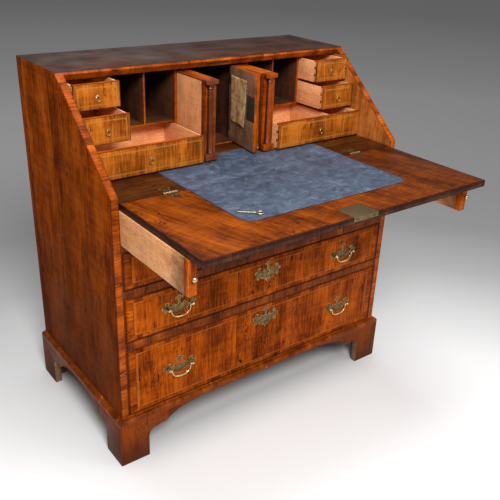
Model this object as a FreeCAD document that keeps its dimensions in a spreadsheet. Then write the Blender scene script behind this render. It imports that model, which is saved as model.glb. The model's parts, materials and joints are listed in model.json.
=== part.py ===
# Walnut fall-front bureau: a chest of four drawers under a sloping desk, with a fitted interior.
# The desk's fall lies open on two pulled-out lopers, and the fittings stand a little way out.
# The model's own frame: X to the right, Y to the back, Z up, millimetres, floor at Z = 0.
import FreeCAD, Part
import math
import os
import Sketcher

SIZES = {
    # The carcase: two sides, a top, a bottom and a back of upright boards.
    "case_width": 930.0,
    "case_depth": 517.0,
    "case_height": 990.0,
    "top_depth": 252.0,
    "desk_height": 247.0,
    "slant_step": 15.6,
    "side_thickness": 21.0,
    "top_thickness": 21.0,
    "bottom_thickness": 20.0,
    "back_thickness": 12.0,
    "top_strip": 9.0,
    "stop_gap": 1.0,
    # The base: a moulding on three sides, over four bracket feet.
    "foot_height": 128.0,
    "moulding_reach": 13.0,
    "moulding_height": 20.0,
    "moulding_lip": 4.0,
    "bracket_thickness": 20.0,
    "bracket_length": 248.0,
    "back_bracket_length": 95.0,
    "foot_width": 85.0,
    "glue_block": 30.0,
    # The rails between the drawer openings, with runners and dust boards behind them.
    "rail_height": 25.0,
    "top_rail_height": 21.0,
    "rail_depth": 60.0,
    "runner_width": 28.0,
    "loper_runner_width": 60.0,
    "dust_board_thickness": 8.0,
    "dust_board_drop": 4.0,
    "stop_height": 5.0,
    "stop_width": 40.0,
    "stop_depth": 25.0,
    "stop_place": 170.0,
    # The long drawers.
    "drawer_side_gap": 1.2,
    "drawer_top_gap": 1.6,
    "fit_gap": 0.3,
    "drawer_front": 20.0,
    "drawer_wall": 9.0,
    "drawer_floor": 7.0,
    "drawer_floor_lift": 6.5,
    "drawer_side_drop": 5.0,
    "drawer_length": 468.0,
    # The lopers that carry the fall, and the uprights beside them.
    "loper_thickness": 22.5,
    "loper_gap": 0.4,
    "loper_divider": 15.5,
    "loper_length": 430.0,
    "loper_reach": 288.0,
    "loper_facing": 15.0,
    "loper_foot_gap": 0.3,
    "knob_radius": 6.0,
    "knob_reach": 13.0,
    "knob_shank": 9.0,
    "knob_shank_radius": 1.6,
    # The writing bed and the fall, hinged where they meet.
    "bed_thickness": 17.0,
    "fall_reach": 338.0,
    "fall_side_gap": 4.0,
    "seam_gap": 0.4,
    "leather_back": 204.0,
    "leather_front_margin": 104.0,
    "leather_corner": 32.0,
    "leather_thickness": 1.2,
    "leather_recess": 1.0,
    # Brass on the fall: butterfly hinges, box lock with its edge plate, strike and a loose key.
    "hinge_width": 40.0,
    "hinge_waist": 22.0,
    "hinge_leaf": 38.0,
    "hinge_plate": 1.5,
    "knuckle_radius": 3.0,
    "knuckle_gap": 0.4,
    "lock_half_width": 39.0,
    "lock_depth": 60.0,
    "lock_shoulder": 14.0,
    "lock_plate": 1.5,
    "lock_case_half_width": 30.0,
    "lock_case_depth": 42.0,
    "lock_case_thickness": 11.0,
    "strike_half_width": 36.0,
    "strike_height": 8.0,
    "key_shank": 44.0,
    "key_shank_radius": 1.5,
    "key_bow_radius": 7.5,
    "key_bow_wire": 1.9,
    "key_bit_length": 7.0,
    "key_bit_width": 7.0,
    "key_bit_thickness": 2.2,
    "escutcheon_half_width": 20.0,
    "escutcheon_height": 34.0,
    "escutcheon_thickness": 1.0,
    "key_x": -203.0,
    "key_from_seam": 215.0,
    # The fitted interior behind the fall.
    "fittings_front": 289.0,
    "fittings_base": 4.5,
    "fittings_base_front": 268.0,
    "fittings_back": 8.0,
    "fittings_roof": 2.4,
    "outer_lining": 3.6,
    "upright_thickness": 7.6,
    "thin_upright": 5.0,
    "shelf_thickness": 6.0,
    "drawer_shelf": 5.0,
    "cupboard_half_width": 75.2,
    "cupboard_wall": 4.7,
    "slide_width": 38.1,
    "slide_partition": 8.0,
    "small_gap": 0.5,
    "small_top_gap": 0.9,
    "small_front": 11.0,
    "small_wall": 5.0,
    "small_floor": 4.0,
    "small_side_drop": 2.5,
    "small_length": 204.0,
    "wide_pull_left": 149.0,
    "wide_pull_right": 156.0,
    "lower_pull_left": 114.0,
    "lower_pull_right": 117.0,
    "upper_pull_left": 67.0,
    "upper_pull_right": 81.0,
    "ink_partition_thickness": 4.0,
    "ring_radius": 6.2,
    "ring_wire": 0.9,
    "ring_post_radius": 1.9,
    "ring_eye_gap": 0.55,
    "ring_post_reach": 6.0,
    "ring_rose_radius": 4.5,
    "ring_rose": 1.0,
    # Document slides, each with a turned half column on its front.
    "slide_pull_left": 143.0,
    "slide_pull_right": 149.0,
    "slide_head_gap": 6.3,
    "slide_front": 12.0,
    "slide_board": 5.0,
    "slide_block_reach": 12.0,
    "column_radius": 11.0,
    "slide_base_block": 17.0,
    "slide_head_block": 11.0,
    # The cupboard door, hinged at its right edge and standing open.
    "door_width": 148.0,
    "door_head_gap": 4.8,
    "door_thickness": 15.0,
    "door_side_gap": 0.7,
    "door_lock_width": 44.0,
    "door_leaf_length": 26.0,
    "door_leaf_width": 9.0,
    "door_leaf_place": 26.0,
    "head_rail": 3.0,
    # Drawer brasses: shaped plates with a hanging bail, and keyhole plates like them.
    "post_spacing": 71.0,
    "plate_width": 102.0,
    "plate_rise": 33.0,
    "plate_drop": 21.0,
    "plate_thickness": 1.6,
    "post_radius": 2.6,
    "post_head_radius": 4.2,
    "post_head_length": 7.0,
    "bail_stand_off": 11.0,
    "bail_drop": 25.0,
    "bail_wire": 2.3,
    "bail_pin_radius": 1.3,
    "bail_hole_gap": 0.25,
    "keyplate_width": 90.0,
    "keyplate_rise": 33.0,
    "keyplate_drop": 32.0,
    "keyhole_below_top": 42.0,
    "keyhole_radius": 3.2,
    "keyhole_slot": 3.0,
    "keyhole_length": 10.0,
    "drawer_lock_half_width": 32.0,
    "drawer_lock_height": 46.0,
    "drawer_lock_thickness": 11.0,
}

# Turns in degrees: the key as it lies, the open cupboard door, and the small arcs of a bail.
ANGLES = {
    "key_turn": 142.0,
    "door_open": 82.5,
    "bail_turn": 52.0,
}

BACK_BOARD_COUNT = 5
KNUCKLE_COUNT = 5

# Places across the case, as shares of half the width between its sides.
WIDTH_SHARES = {
    "leather": 0.5856,
    "hinge": 0.687,
    "handle": 0.651,
    "pigeonhole_middle": 0.4842,
    "pigeonhole_outer": 0.696,
    "ink_partition": 0.7477,
}

# The openings' heights, as shares of the height that the rails or the shelves leave free.
ROW_SHARES = {"bottom": 0.3925, "third": 0.2426, "second": 0.1982}
SMALL_ROW_SHARES = {"wide": 0.3585, "lower": 0.3316}

doc = FreeCAD.newDocument("fall_front_bureau")
sheet = doc.addObject("Spreadsheet::Sheet", "Sizes")


class Size:
    """A length, as a number and as the spreadsheet expression that it comes from."""

    def __init__(self, words, value):
        self.words = words
        self.value = value

    def __add__(self, other):
        return Size("(" + self.words + " + " + words_of(other) + ")", self.value + number_of(other))

    def __radd__(self, other):
        return Size("(" + words_of(other) + " + " + self.words + ")", number_of(other) + self.value)

    def __sub__(self, other):
        return Size("(" + self.words + " - " + words_of(other) + ")", self.value - number_of(other))

    def __rsub__(self, other):
        return Size("(" + words_of(other) + " - " + self.words + ")", number_of(other) - self.value)

    def __mul__(self, other):
        return Size("(" + self.words + " * " + words_of(other) + ")", self.value * number_of(other))

    def __rmul__(self, other):
        return Size("(" + words_of(other) + " * " + self.words + ")", number_of(other) * self.value)

    def __truediv__(self, other):
        return Size("(" + self.words + " / " + words_of(other) + ")", self.value / number_of(other))

    def __neg__(self):
        return Size("(-1 * " + self.words + ")", -self.value)


def words_of(item):
    return item.words if isinstance(item, Size) else repr(float(item))


def number_of(item):
    return item.value if isinstance(item, Size) else float(item)


def root_of(item):
    return Size("sqrt(" + item.words + ")", math.sqrt(item.value))


def fill_sheet():
    """Write each driving dimension into its own cell with an alias, and hand back the sizes."""
    named = {}
    for row, (alias, value) in enumerate((SIZES | ANGLES).items(), start=1):
        sheet.set("A" + str(row), alias)
        sheet.set("B" + str(row), str(value))
        sheet.setAlias("B" + str(row), alias)
        named[alias] = Size("Sizes." + alias, float(value))
    doc.recompute()
    return named


d = type("Dimensions", (), fill_sheet())

# Places that follow from the driving dimensions.
half_case = d.case_width / 2
inside = half_case - d.side_thickness
front = (d.fall_reach - d.case_depth) / 2
back = front + d.case_depth
back_inside = back - d.back_thickness
top_under = d.case_height - d.top_thickness
base_top = d.foot_height + d.bottom_thickness
writing_height = d.case_height - d.desk_height
slant_foot = writing_height + d.slant_step
bed_under = writing_height - d.bed_thickness

# The slope from the sides' front edge up to the top, as a direction and a length.
slope_run = d.case_depth - d.top_depth
slope_rise = d.case_height - slant_foot
slope_length = root_of(slope_run * slope_run + slope_rise * slope_rise)
slope_y = slope_run / slope_length
slope_z = slope_rise / slope_length

# The hinge line lies so far back that the closed fall is flush with the sloping edges.
hinge_back = (d.bed_thickness - d.slant_step * slope_y) / slope_z
hinge_y = front + hinge_back
fall_length = d.fall_reach + hinge_back

finished = {}


def sub_part(item, name):
    """Name a finished piece, which also names its file."""
    item.Label = name
    finished[name] = item
    return item


def bind_place(item, x, y, z):
    for axis, place in (("x", x), ("y", y), ("z", z)):
        item.setExpression(".Placement.Base." + axis, words_of(place))


def board(name, x, y, z):
    """A squared board: x, y and z are each a pair, low and high."""
    box = doc.addObject("Part::Box", name)
    box.setExpression("Length", words_of(x[1] - x[0]))
    box.setExpression("Width", words_of(y[1] - y[0]))
    box.setExpression("Height", words_of(z[1] - z[0]))
    bind_place(box, x[0], y[0], z[0])
    return box


ALONG = {
    "x": FreeCAD.Rotation(FreeCAD.Vector(0, 1, 0), 90),
    "y": FreeCAD.Rotation(FreeCAD.Vector(1, 0, 0), -90),
    "z": FreeCAD.Rotation(),
}


def rod(name, radius, length, place, axis):
    """A round rod from place along the named axis."""
    item = doc.addObject("Part::Cylinder", name)
    item.setExpression("Radius", words_of(radius))
    item.setExpression("Height", words_of(length))
    item.Placement = FreeCAD.Placement(FreeCAD.Vector(), ALONG[axis])
    bind_place(item, place[0], place[1], place[2])
    return item


# The plane of a side view, with Y across it, Z up and X as its normal.
SIDE_PLANE = FreeCAD.Rotation(FreeCAD.Vector(0, 1, 0), FreeCAD.Vector(0, 0, 1), FreeCAD.Vector(1, 0, 0))


def draw_corners(sketch, points):
    """Draw a closed outline in a sketch, each corner bound to its two sizes."""
    spots = [FreeCAD.Vector(number_of(across), number_of(up), 0) for across, up in points]
    for index, spot in enumerate(spots):
        sketch.addGeometry(Part.LineSegment(spot, spots[(index + 1) % len(spots)]), False)
    for index in range(len(spots)):
        sketch.addConstraint(Sketcher.Constraint("Coincident", index, 2, (index + 1) % len(spots), 1))
    for index, (across, up) in enumerate(points):
        for kind, place in (("DistanceX", across), ("DistanceY", up)):
            tie = Sketcher.Constraint(kind, -1, 1, index, 1, number_of(place))
            number = sketch.addConstraint(tie)
            sketch.setExpression("Constraints[" + str(number) + "]", words_of(place))


def slab(name, points, start, depth):
    """A flat piece: a side view's outline of (y, z) corners, from start along X for its depth."""
    sketch = doc.addObject("Sketcher::SketchObject", name + "_outline")
    sketch.Placement = FreeCAD.Placement(FreeCAD.Vector(), SIDE_PLANE)
    sketch.setExpression(".Placement.Base.x", words_of(start))
    draw_corners(sketch, points)
    item = doc.addObject("Part::Extrusion", name)
    item.Base = sketch
    item.DirMode = "Normal"
    item.Solid = True
    item.setExpression("LengthFwd", words_of(depth))
    return item


def turned(name, outline, place, axis="z", half_turn=False):
    """A turned piece: an outline of (radius, height) corners spun about its own upright axis."""
    body = doc.addObject("PartDesign::Body", name)
    sketch = body.newObject("Sketcher::SketchObject", name + "_outline")
    planes = [item for item in body.Origin.OriginFeatures if item.Role == "XZ_Plane"]
    sketch.AttachmentSupport = [(planes[0], "")]
    sketch.MapMode = "FlatFace"
    draw_corners(sketch, outline)
    spin = body.newObject("PartDesign::Revolution", name + "_turning")
    spin.Profile = sketch
    spin.ReferenceAxis = (sketch, ["V_Axis"])
    spin.Angle = 180 if half_turn else 360
    spin.Reversed = half_turn
    body.Placement = FreeCAD.Placement(FreeCAD.Vector(), ALONG[axis])
    bind_place(body, place[0], place[1], place[2])
    return body


def without(name, base, tools):
    """The base with the tools cut away."""
    tool = tools[0]
    if len(tools) > 1:
        tool = doc.addObject("Part::MultiFuse", name + "_tools")
        tool.Shapes = tools
    item = doc.addObject("Part::Cut", name)
    item.Base = base
    item.Tool = tool
    return item


def joined(name, pieces):
    item = doc.addObject("Part::MultiFuse", name)
    item.Shapes = pieces
    return item


def group(name, pieces):
    """Separate pieces of one kind, kept as separate solids."""
    item = doc.addObject("Part::Compound", name)
    item.Links = pieces
    return sub_part(item, name)


def shaped(name, shape):
    """A piece whose curved outline is worked out here from the sheet's sizes."""
    item = doc.addObject("Part::Feature", name)
    item.Shape = shape
    item.Placement = FreeCAD.Placement()
    return item


def mirrored_pair(low, high, sign):
    """The pair (low, high) on the right, or its mirror image on the left when sign is -1."""
    return (low, high) if sign > 0 else (-high, -low)


SIDES = (("left", -1), ("right", 1))


def vector(x, y, z):
    return FreeCAD.Vector(number_of(x), number_of(y), number_of(z))


def strike_plate():
    """The fall lock's strike plate, let into the step under the top board's front edge."""
    along = number_of(d.bed_thickness + d.stop_gap)
    strip, sy, sz = (number_of(item) for item in (d.top_strip, slope_y, slope_z))
    y = number_of(front + slope_run) - strip * sy
    z = number_of(d.case_height) - strip * sz
    half, height, thick = (number_of(item) for item in (d.strike_half_width, d.strike_height, d.lock_plate))
    start = FreeCAD.Vector(-half, y + sz * (along - height) / 2, z - sy * (along - height) / 2)
    across = FreeCAD.Vector(2 * half, 0, 0)
    down = FreeCAD.Vector(0, sz * height, -sy * height)
    corners = [start, start + across, start + across + down, start + down, start]
    face = Part.Face(Part.makePolygon(corners))
    plate = face.extrude(FreeCAD.Vector(0, sy * thick, sz * thick))
    return sub_part(shaped("lock_strike", plate), "lock_strike")


def carcase():
    """Sides, top, bottom and back: the box that everything else is let into."""
    outline = (
        (front, d.foot_height),
        (back, d.foot_height),
        (back, top_under),
        (front + slope_run - d.top_thickness * slope_y / slope_z, top_under),
        (front, slant_foot),
    )
    for side, sign in SIDES:
        start = inside if sign > 0 else -half_case
        sub_part(slab(side + "_side", outline, start, d.side_thickness), side + "_side")
    top_front = front + slope_run
    strip_low = (top_front - d.top_strip * slope_y, d.case_height - d.top_strip * slope_z)
    step = d.bed_thickness + d.stop_gap
    recess = (strip_low[0] + step * slope_z, strip_low[1] - step * slope_y)
    recess_low = (recess[0] - (recess[1] - top_under) * slope_y / slope_z, top_under)
    outline = (
        (back, top_under),
        (back, d.case_height),
        (top_front, d.case_height),
        strip_low,
        recess,
        recess_low,
    )
    middle = slab("top_middle", outline, -inside, inside + inside)
    outline = (
        (back, top_under),
        (back, d.case_height),
        (top_front, d.case_height),
        (top_front - d.top_thickness * slope_y / slope_z, top_under),
    )
    ends = []
    for side, sign in SIDES:
        start = inside if sign > 0 else -half_case
        ends.append(slab("top_end_" + side, outline, start, d.side_thickness))
    whole_top = joined("whole_top", [middle] + ends)
    sub_part(without("top_board", whole_top, [strike_plate()]), "top_board")
    across = (-inside, inside)
    bottom = board("bottom_board", across, (front, back_inside), (d.foot_height, base_top))
    sub_part(bottom, "bottom_board")
    boards = []
    wide = (inside + inside) / BACK_BOARD_COUNT
    for index in range(BACK_BOARD_COUNT):
        x = (-inside + wide * index, -inside + wide * (index + 1))
        height = (d.foot_height, top_under)
        boards.append(board("back_board_" + str(index + 1), x, (back_inside, back), height))
    group("back_boards", boards)


def rows():
    """The drawer openings, bottom first: name, floor height and roof height."""
    low = base_top
    openings = []
    free = bed_under - base_top - d.rail_height - d.rail_height - d.top_rail_height
    plan = (("bottom", d.rail_height), ("third", d.rail_height), ("second", d.top_rail_height))
    for name, rail in plan:
        high = low + free * ROW_SHARES[name]
        openings.append((name, low, high))
        low = high + rail
    openings.append(("top", low, bed_under))
    return openings


ROWS = rows()
loper_inner = inside - d.loper_gap - d.loper_thickness - d.loper_gap
divider_inner = loper_inner - d.loper_divider


def rails_and_runners():
    """Front rails with runners and dust boards behind them, and the drawers' stops on the rails."""
    rails = []
    runners = []
    dust = []
    stops = []
    for index, (name, low, high) in enumerate(ROWS):
        if index > 0:
            under = ROWS[index - 1][2]
            level = (under, low)
            rails.append(board("rail_" + name, (-inside, inside), (front, front + d.rail_depth), level))
            wide = d.loper_runner_width if name == "top" else d.runner_width
            behind = (front + d.rail_depth, back_inside)
            for side, sign in SIDES:
                x = mirrored_pair(inside - wide, inside, sign)
                runners.append(board("runner_" + name + "_" + side, x, behind, level))
            surface = low - d.dust_board_drop
            flat = (surface - d.dust_board_thickness, surface)
            dust.append(board("dust_board_" + name, (wide - inside, inside - wide), behind, flat))
        near = front + d.drawer_front + d.fit_gap
        for side, sign in SIDES:
            x = mirrored_pair(d.stop_place, d.stop_place + d.stop_width, sign)
            y = (near, near + d.stop_depth)
            stops.append(board("stop_" + name + "_" + side, x, y, (low, low + d.stop_height)))
    group("drawer_rails", rails + stops)
    group("drawer_runners", runners)
    group("dust_boards", dust)
    low, high = ROWS[-1][1], ROWS[-1][2]
    dividers = []
    for side, sign in SIDES:
        x = mirrored_pair(divider_inner, loper_inner, sign)
        dividers.append(board("divider_" + side, x, (front, back_inside), (low, high)))
    group("loper_dividers", dividers)


# The moulding's round takes this share of its reach, and the hollow over it takes the rest.
MOULDING_ROUND_SHARE = 0.62


def moulding_outline(across_front):
    """The base moulding's section: a flat lip, a round and a small hollow, as (out, up) edges."""
    reach = number_of(d.moulding_reach)
    height = number_of(d.moulding_height)
    lip = number_of(d.moulding_lip)
    low = number_of(d.foot_height)
    quarter = math.sqrt(0.5)
    round_radius = min(reach, height - lip) * MOULDING_ROUND_SHARE
    hollow = reach - round_radius
    corners = [(0, low), (reach, low), (reach, low + lip + lip)]
    middle = (reach - round_radius * (1 - quarter), low + lip + lip + round_radius * quarter)
    end = (reach - round_radius, low + lip + lip + round_radius)
    dip = (end[0] - hollow * quarter, low + height - (low + height - end[1]) * quarter)
    top = (0, low + height)
    place = lambda spot: across_front(spot[0], spot[1])
    edges = [Part.makeLine(place(a), place(b)) for a, b in zip(corners, corners[1:])]
    edges.append(Part.Arc(place(corners[2]), place(middle), place(end)).toShape())
    edges.append(Part.Arc(place(end), place(dip), place(top)).toShape())
    edges.append(Part.makeLine(place(top), place(corners[0])))
    return Part.Face(Part.Wire(edges))


def mitred(shape, corners):
    """The part of a shape over a plan outline, which cuts its mitres."""
    tall = number_of(d.case_height)
    spots = [FreeCAD.Vector(x, y, 0) for x, y in corners]
    plan = Part.Face(Part.makePolygon(spots + spots[:1]))
    return shape.common(plan.extrude(FreeCAD.Vector(0, 0, tall)))


def base_moulding():
    """Three mitred lengths of moulding, planted round the foot of the carcase."""
    half, near, far = number_of(half_case), number_of(front), number_of(back)
    reach = number_of(d.moulding_reach)
    face = moulding_outline(lambda out, up: FreeCAD.Vector(-half - reach, near - out, up))
    length = face.extrude(FreeCAD.Vector(2 * (half + reach), 0, 0))
    plan = ((-half - reach, near - reach), (half + reach, near - reach), (half, near), (-half, near))
    pieces = [mitred(length, plan)]
    for side, sign in SIDES:
        face = moulding_outline(lambda out, up, s=sign: FreeCAD.Vector(s * (half + out), near - reach, up))
        length = face.extrude(FreeCAD.Vector(0, far - near + reach, 0))
        plan = (
            (sign * half, near),
            (sign * (half + reach), near - reach),
            (sign * (half + reach), far),
            (sign * half, far),
        )
        pieces.append(mitred(length, plan))
    sub_part(shaped("base_moulding", Part.makeCompound(pieces)), "base_moulding")


# The bracket's lower edge from the foot inwards: shares of the free length and of the height.
BRACKET_SHARES = (
    ((0.0, 0.50), None),
    ((0.16, 0.695), (0.035, 0.63)),
    ((0.32, 0.70), (0.24, 0.715)),
    ((0.60, 0.90), (0.43, 0.81)),
    ((1.0, 0.975), (0.79, 0.955)),
)


def bracket_face(place, length):
    """A bracket foot's shaped face: place turns (distance from the corner, height) into a point."""
    height = number_of(d.foot_height)
    foot = number_of(d.foot_width)
    free = length - foot
    spots = [(foot + free * across, height * up) for (across, up), _ in BRACKET_SHARES]
    edges = [Part.makeLine(place(0, 0), place(foot, 0)), Part.makeLine(place(foot, 0), place(*spots[0]))]
    for index, (_, middle) in enumerate(BRACKET_SHARES[1:], start=1):
        through = (foot + free * middle[0], height * middle[1])
        arc = Part.Arc(place(*spots[index - 1]), place(*through), place(*spots[index]))
        edges.append(arc.toShape())
    edges.append(Part.makeLine(place(*spots[-1]), place(length, height)))
    edges.append(Part.makeLine(place(length, height), place(0, height)))
    edges.append(Part.makeLine(place(0, height), place(0, 0)))
    return Part.Face(Part.Wire(edges))


def feet():
    """Two mitred brackets at each front corner, and a shaped and a plain bracket at each back one."""
    half, near, far = number_of(half_case), number_of(front), number_of(back)
    reach = number_of(d.moulding_reach)
    thick = number_of(d.bracket_thickness)
    length = number_of(d.bracket_length)
    short = number_of(d.back_bracket_length)
    height = number_of(d.foot_height)
    out_x = half + reach
    out_y = near - reach
    for side, sign in SIDES:
        face = bracket_face(lambda s, up, g=sign: FreeCAD.Vector(g * (out_x - s), out_y, up), length)
        front_piece = face.extrude(FreeCAD.Vector(0, thick, 0))
        plan = (
            (sign * out_x, out_y),
            (sign * (out_x - length), out_y),
            (sign * (out_x - length), out_y + thick),
            (sign * (out_x - thick), out_y + thick),
        )
        pieces = [mitred(front_piece, plan)]
        face = bracket_face(lambda s, up, g=sign: FreeCAD.Vector(g * out_x, out_y + s, up), length)
        side_piece = face.extrude(FreeCAD.Vector(-sign * thick, 0, 0))
        plan = (
            (sign * out_x, out_y),
            (sign * (out_x - thick), out_y + thick),
            (sign * (out_x - thick), out_y + length),
            (sign * out_x, out_y + length),
        )
        pieces.append(mitred(side_piece, plan))
        sub_part(shaped("front_" + side + "_foot", Part.makeCompound(pieces)), "front_" + side + "_foot")
        face = bracket_face(lambda s, up, g=sign: FreeCAD.Vector(g * out_x, far - s, up), length)
        pieces = [face.extrude(FreeCAD.Vector(-sign * thick, 0, 0))]
        inner = out_x - thick
        low = number_of(d.foot_width) - thick
        corners = ((inner, 0), (inner - low, 0), (inner - short, height), (inner, height))
        spots = [FreeCAD.Vector(sign * x, far, z) for x, z in corners]
        rear_face = Part.Face(Part.makePolygon(spots + spots[:1]))
        pieces.append(rear_face.extrude(FreeCAD.Vector(0, -thick, 0)))
        sub_part(shaped("rear_" + side + "_foot", Part.makeCompound(pieces)), "rear_" + side + "_foot")
    inner_x = half_case + d.moulding_reach - d.bracket_thickness
    near_y = front - d.moulding_reach + d.bracket_thickness
    far_y = back - d.bracket_thickness
    blocks = []
    for side, sign in SIDES:
        x = mirrored_pair(inner_x - d.glue_block, inner_x, sign)
        for place, y in (("front", near_y), ("rear", far_y - d.glue_block)):
            name = "foot_block_" + place + "_" + side
            blocks.append(board(name, x, (y, y + d.glue_block), (d.fit_gap, d.foot_height)))
    group("foot_blocks", blocks)


def leather_sheet(low_y, high_y, rounded, top):
    """A rectangle of leather, its two front corners rounded when asked."""
    half = number_of(inside) * WIDTH_SHARES["leather"]
    y0, y1, thick = (number_of(item) for item in (low_y, high_y, d.leather_thickness))
    start = FreeCAD.Vector(-half, y0, number_of(top) - thick)
    sheet_box = Part.makeBox(2 * half, y1 - y0, thick, start)
    if not rounded:
        return sheet_box
    front_edges = []
    for edge in sheet_box.Edges:
        ends = [vertex.Point for vertex in edge.Vertexes]
        upright = abs(ends[0].z - ends[1].z) > thick / 2
        if upright and abs(ends[0].y - y0) < thick / 2:
            front_edges.append(edge)
    return sheet_box.makeFillet(number_of(d.leather_corner), front_edges)


# Where a butterfly leaf is narrowest and widest along its reach, and its point's half width.
LEAF_SHARES = {"waist": 0.5, "shoulder": 0.86, "point_side": 0.88, "point_half": 0.45}


def butterfly_leaf(centre_x, root_y, reach, surface):
    """A waisted hinge leaf on the surface, from the hinge line at root_y out by reach."""
    wide = number_of(d.hinge_width) / 2
    waist = number_of(d.hinge_waist) / 2
    x, y, out = number_of(centre_x), number_of(root_y), number_of(reach)
    low = number_of(surface) - number_of(d.hinge_plate)
    spot = lambda across, along: FreeCAD.Vector(x + across, y + along, low)
    middle = out * LEAF_SHARES["waist"]
    shoulder = out * LEAF_SHARES["shoulder"]
    near = (wide * LEAF_SHARES["point_half"], out * LEAF_SHARES["point_side"])
    edges = [
        Part.makeLine(spot(-wide, 0), spot(wide, 0)),
        Part.Arc(spot(wide, 0), spot(waist, middle), spot(wide, shoulder)).toShape(),
        Part.Arc(spot(wide, shoulder), spot(*near), spot(0, out)).toShape(),
        Part.Arc(spot(0, out), spot(-near[0], near[1]), spot(-wide, shoulder)).toShape(),
        Part.Arc(spot(-wide, shoulder), spot(-waist, middle), spot(-wide, 0)).toShape(),
    ]
    return Part.Face(Part.Wire(edges)).extrude(FreeCAD.Vector(0, 0, number_of(d.hinge_plate)))


def fall_hinges_and_ways(seam, surface):
    """Both leaves of each hinge with their knuckles, and the ways cut for the knuckles."""
    bed_leaves = []
    fall_leaves = []
    ways = []
    for side, sign in SIDES:
        middle = inside * WIDTH_SHARES["hinge"] * sign
        start = middle - d.hinge_width / 2 - d.knuckle_gap
        length = d.hinge_width + 2 * d.knuckle_gap
        way = d.knuckle_radius + d.knuckle_gap + d.knuckle_gap
        ways.append(rod("barrel_way_" + side, way, length, (start, seam, surface), "x"))
        bed_leaves.append(knuckled_leaf(middle, seam, d.hinge_leaf, surface, range(1, KNUCKLE_COUNT, 2)))
        fall_leaves.append(knuckled_leaf(middle, seam, -d.hinge_leaf, surface, range(0, KNUCKLE_COUNT, 2)))
    bed_hinges = sub_part(shaped("bed_hinge_leaves", Part.makeCompound(bed_leaves)), "bed_hinge_leaves")
    fall_hinges = sub_part(shaped("fall_hinge_leaves", Part.makeCompound(fall_leaves)), "fall_hinge_leaves")
    return bed_hinges, fall_hinges, ways


def knuckled_leaf(middle, seam, reach, surface, turns):
    """A butterfly leaf that carries the knuckles of the given turns out of the barrel's row."""
    leaf = butterfly_leaf(middle, seam, reach, surface)
    radius, gap, width = (number_of(item) for item in (d.knuckle_radius, d.knuckle_gap, d.hinge_width))
    start = vector(middle - d.hinge_width / 2, seam, surface)
    spin = FreeCAD.Vector(1, 0, 0)
    clear = Part.makeCylinder(radius + gap, width, start, spin)
    step = width / KNUCKLE_COUNT
    pieces = []
    for turn in turns:
        at = start + FreeCAD.Vector(turn * step + gap / 2, 0, 0)
        pieces.append(Part.makeCylinder(radius, step - gap, at, spin))
        cell = Part.makeCylinder(radius + gap, step - gap, at, spin)
        pieces.append(leaf.common(cell))
    return leaf.cut(clear).fuse(pieces).removeSplitter()


def writing_bed_and_fall():
    """The fixed writing bed, the fall hinged to it, their leather, hinges, lock and key."""
    surface = writing_height
    seam = hinge_y
    bed_front = seam + d.seam_gap
    bed = board("bed_blank", (-inside, inside), (bed_front, back_inside), (bed_under, surface))
    fall_half = inside - d.fall_side_gap
    fall_front = front - d.fall_reach
    fall = board("fall_blank", (-fall_half, fall_half), (fall_front, seam), (bed_under, surface))
    proud = surface + d.leather_thickness - d.leather_recess
    bed_sheet = leather_sheet(bed_front, front + d.leather_back, False, proud)
    fall_sheet = leather_sheet(fall_front + d.leather_front_margin, seam, True, proud)
    bed_leather = sub_part(shaped("bed_leather", bed_sheet), "bed_leather")
    fall_leather = sub_part(shaped("fall_leather", fall_sheet), "fall_leather")
    bed_hinges, fall_hinges, barrel_ways = fall_hinges_and_ways(seam, surface)
    bed_tools = [bed_leather, bed_hinges] + barrel_ways
    fall_tools = [fall_leather, fall_hinges] + barrel_ways + fall_lock(fall_front, surface)
    sub_part(without("writing_bed", bed, bed_tools), "writing_bed")
    sub_part(without("fall_board", fall, fall_tools), "fall_board")
    key(proud)


# The right half of a swan-neck plate from its crown to its tail: each arc's end and its middle.
WING_SHARES = (
    ((0.082, 0.897), (0.061, 0.979)),
    ((0.149, 0.830), (0.106, 0.836)),
    ((0.243, 0.733), (0.220, 0.830)),
    ((0.161, 0.655), (0.216, 0.645)),
    ((0.071, 0.533), (0.102, 0.612)),
    ((0.063, 0.291), (0.051, 0.412)),
    ((0.176, 0.158), (0.096, 0.179)),
    ((0.259, 0.224), (0.224, 0.158)),
    ((0.365, 0.267), (0.318, 0.327)),
    ((0.400, 0.139), (0.404, 0.212)),
    ((0.580, 0.182), (0.498, 0.121)),
    ((0.631, 0.321), (0.620, 0.242)),
    ((0.557, 0.436), (0.573, 0.352)),
    ((0.651, 0.461), (0.602, 0.500)),
    ((0.765, 0.545), (0.706, 0.564)),
    ((0.796, 0.406), (0.812, 0.491)),
    ((0.808, 0.230), (0.773, 0.315)),
    ((0.914, 0.212), (0.867, 0.261)),
    ((1.000, 0.073), (0.988, 0.188)),
    ((0.910, -0.105), (0.976, -0.086)),
    ((0.835, -0.267), (0.851, -0.152)),
    ((0.788, -0.619), (0.859, -0.476)),
    ((0.675, -0.410), (0.698, -0.581)),
    ((0.608, -0.305), (0.651, -0.314)),
    ((0.302, -0.695), (0.467, -0.571)),
    ((0.208, -0.743), (0.247, -0.648)),
    ((0.114, -0.752), (0.163, -0.838)),
    ((0.0, -1.0), (0.063, -0.905)),
)


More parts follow.
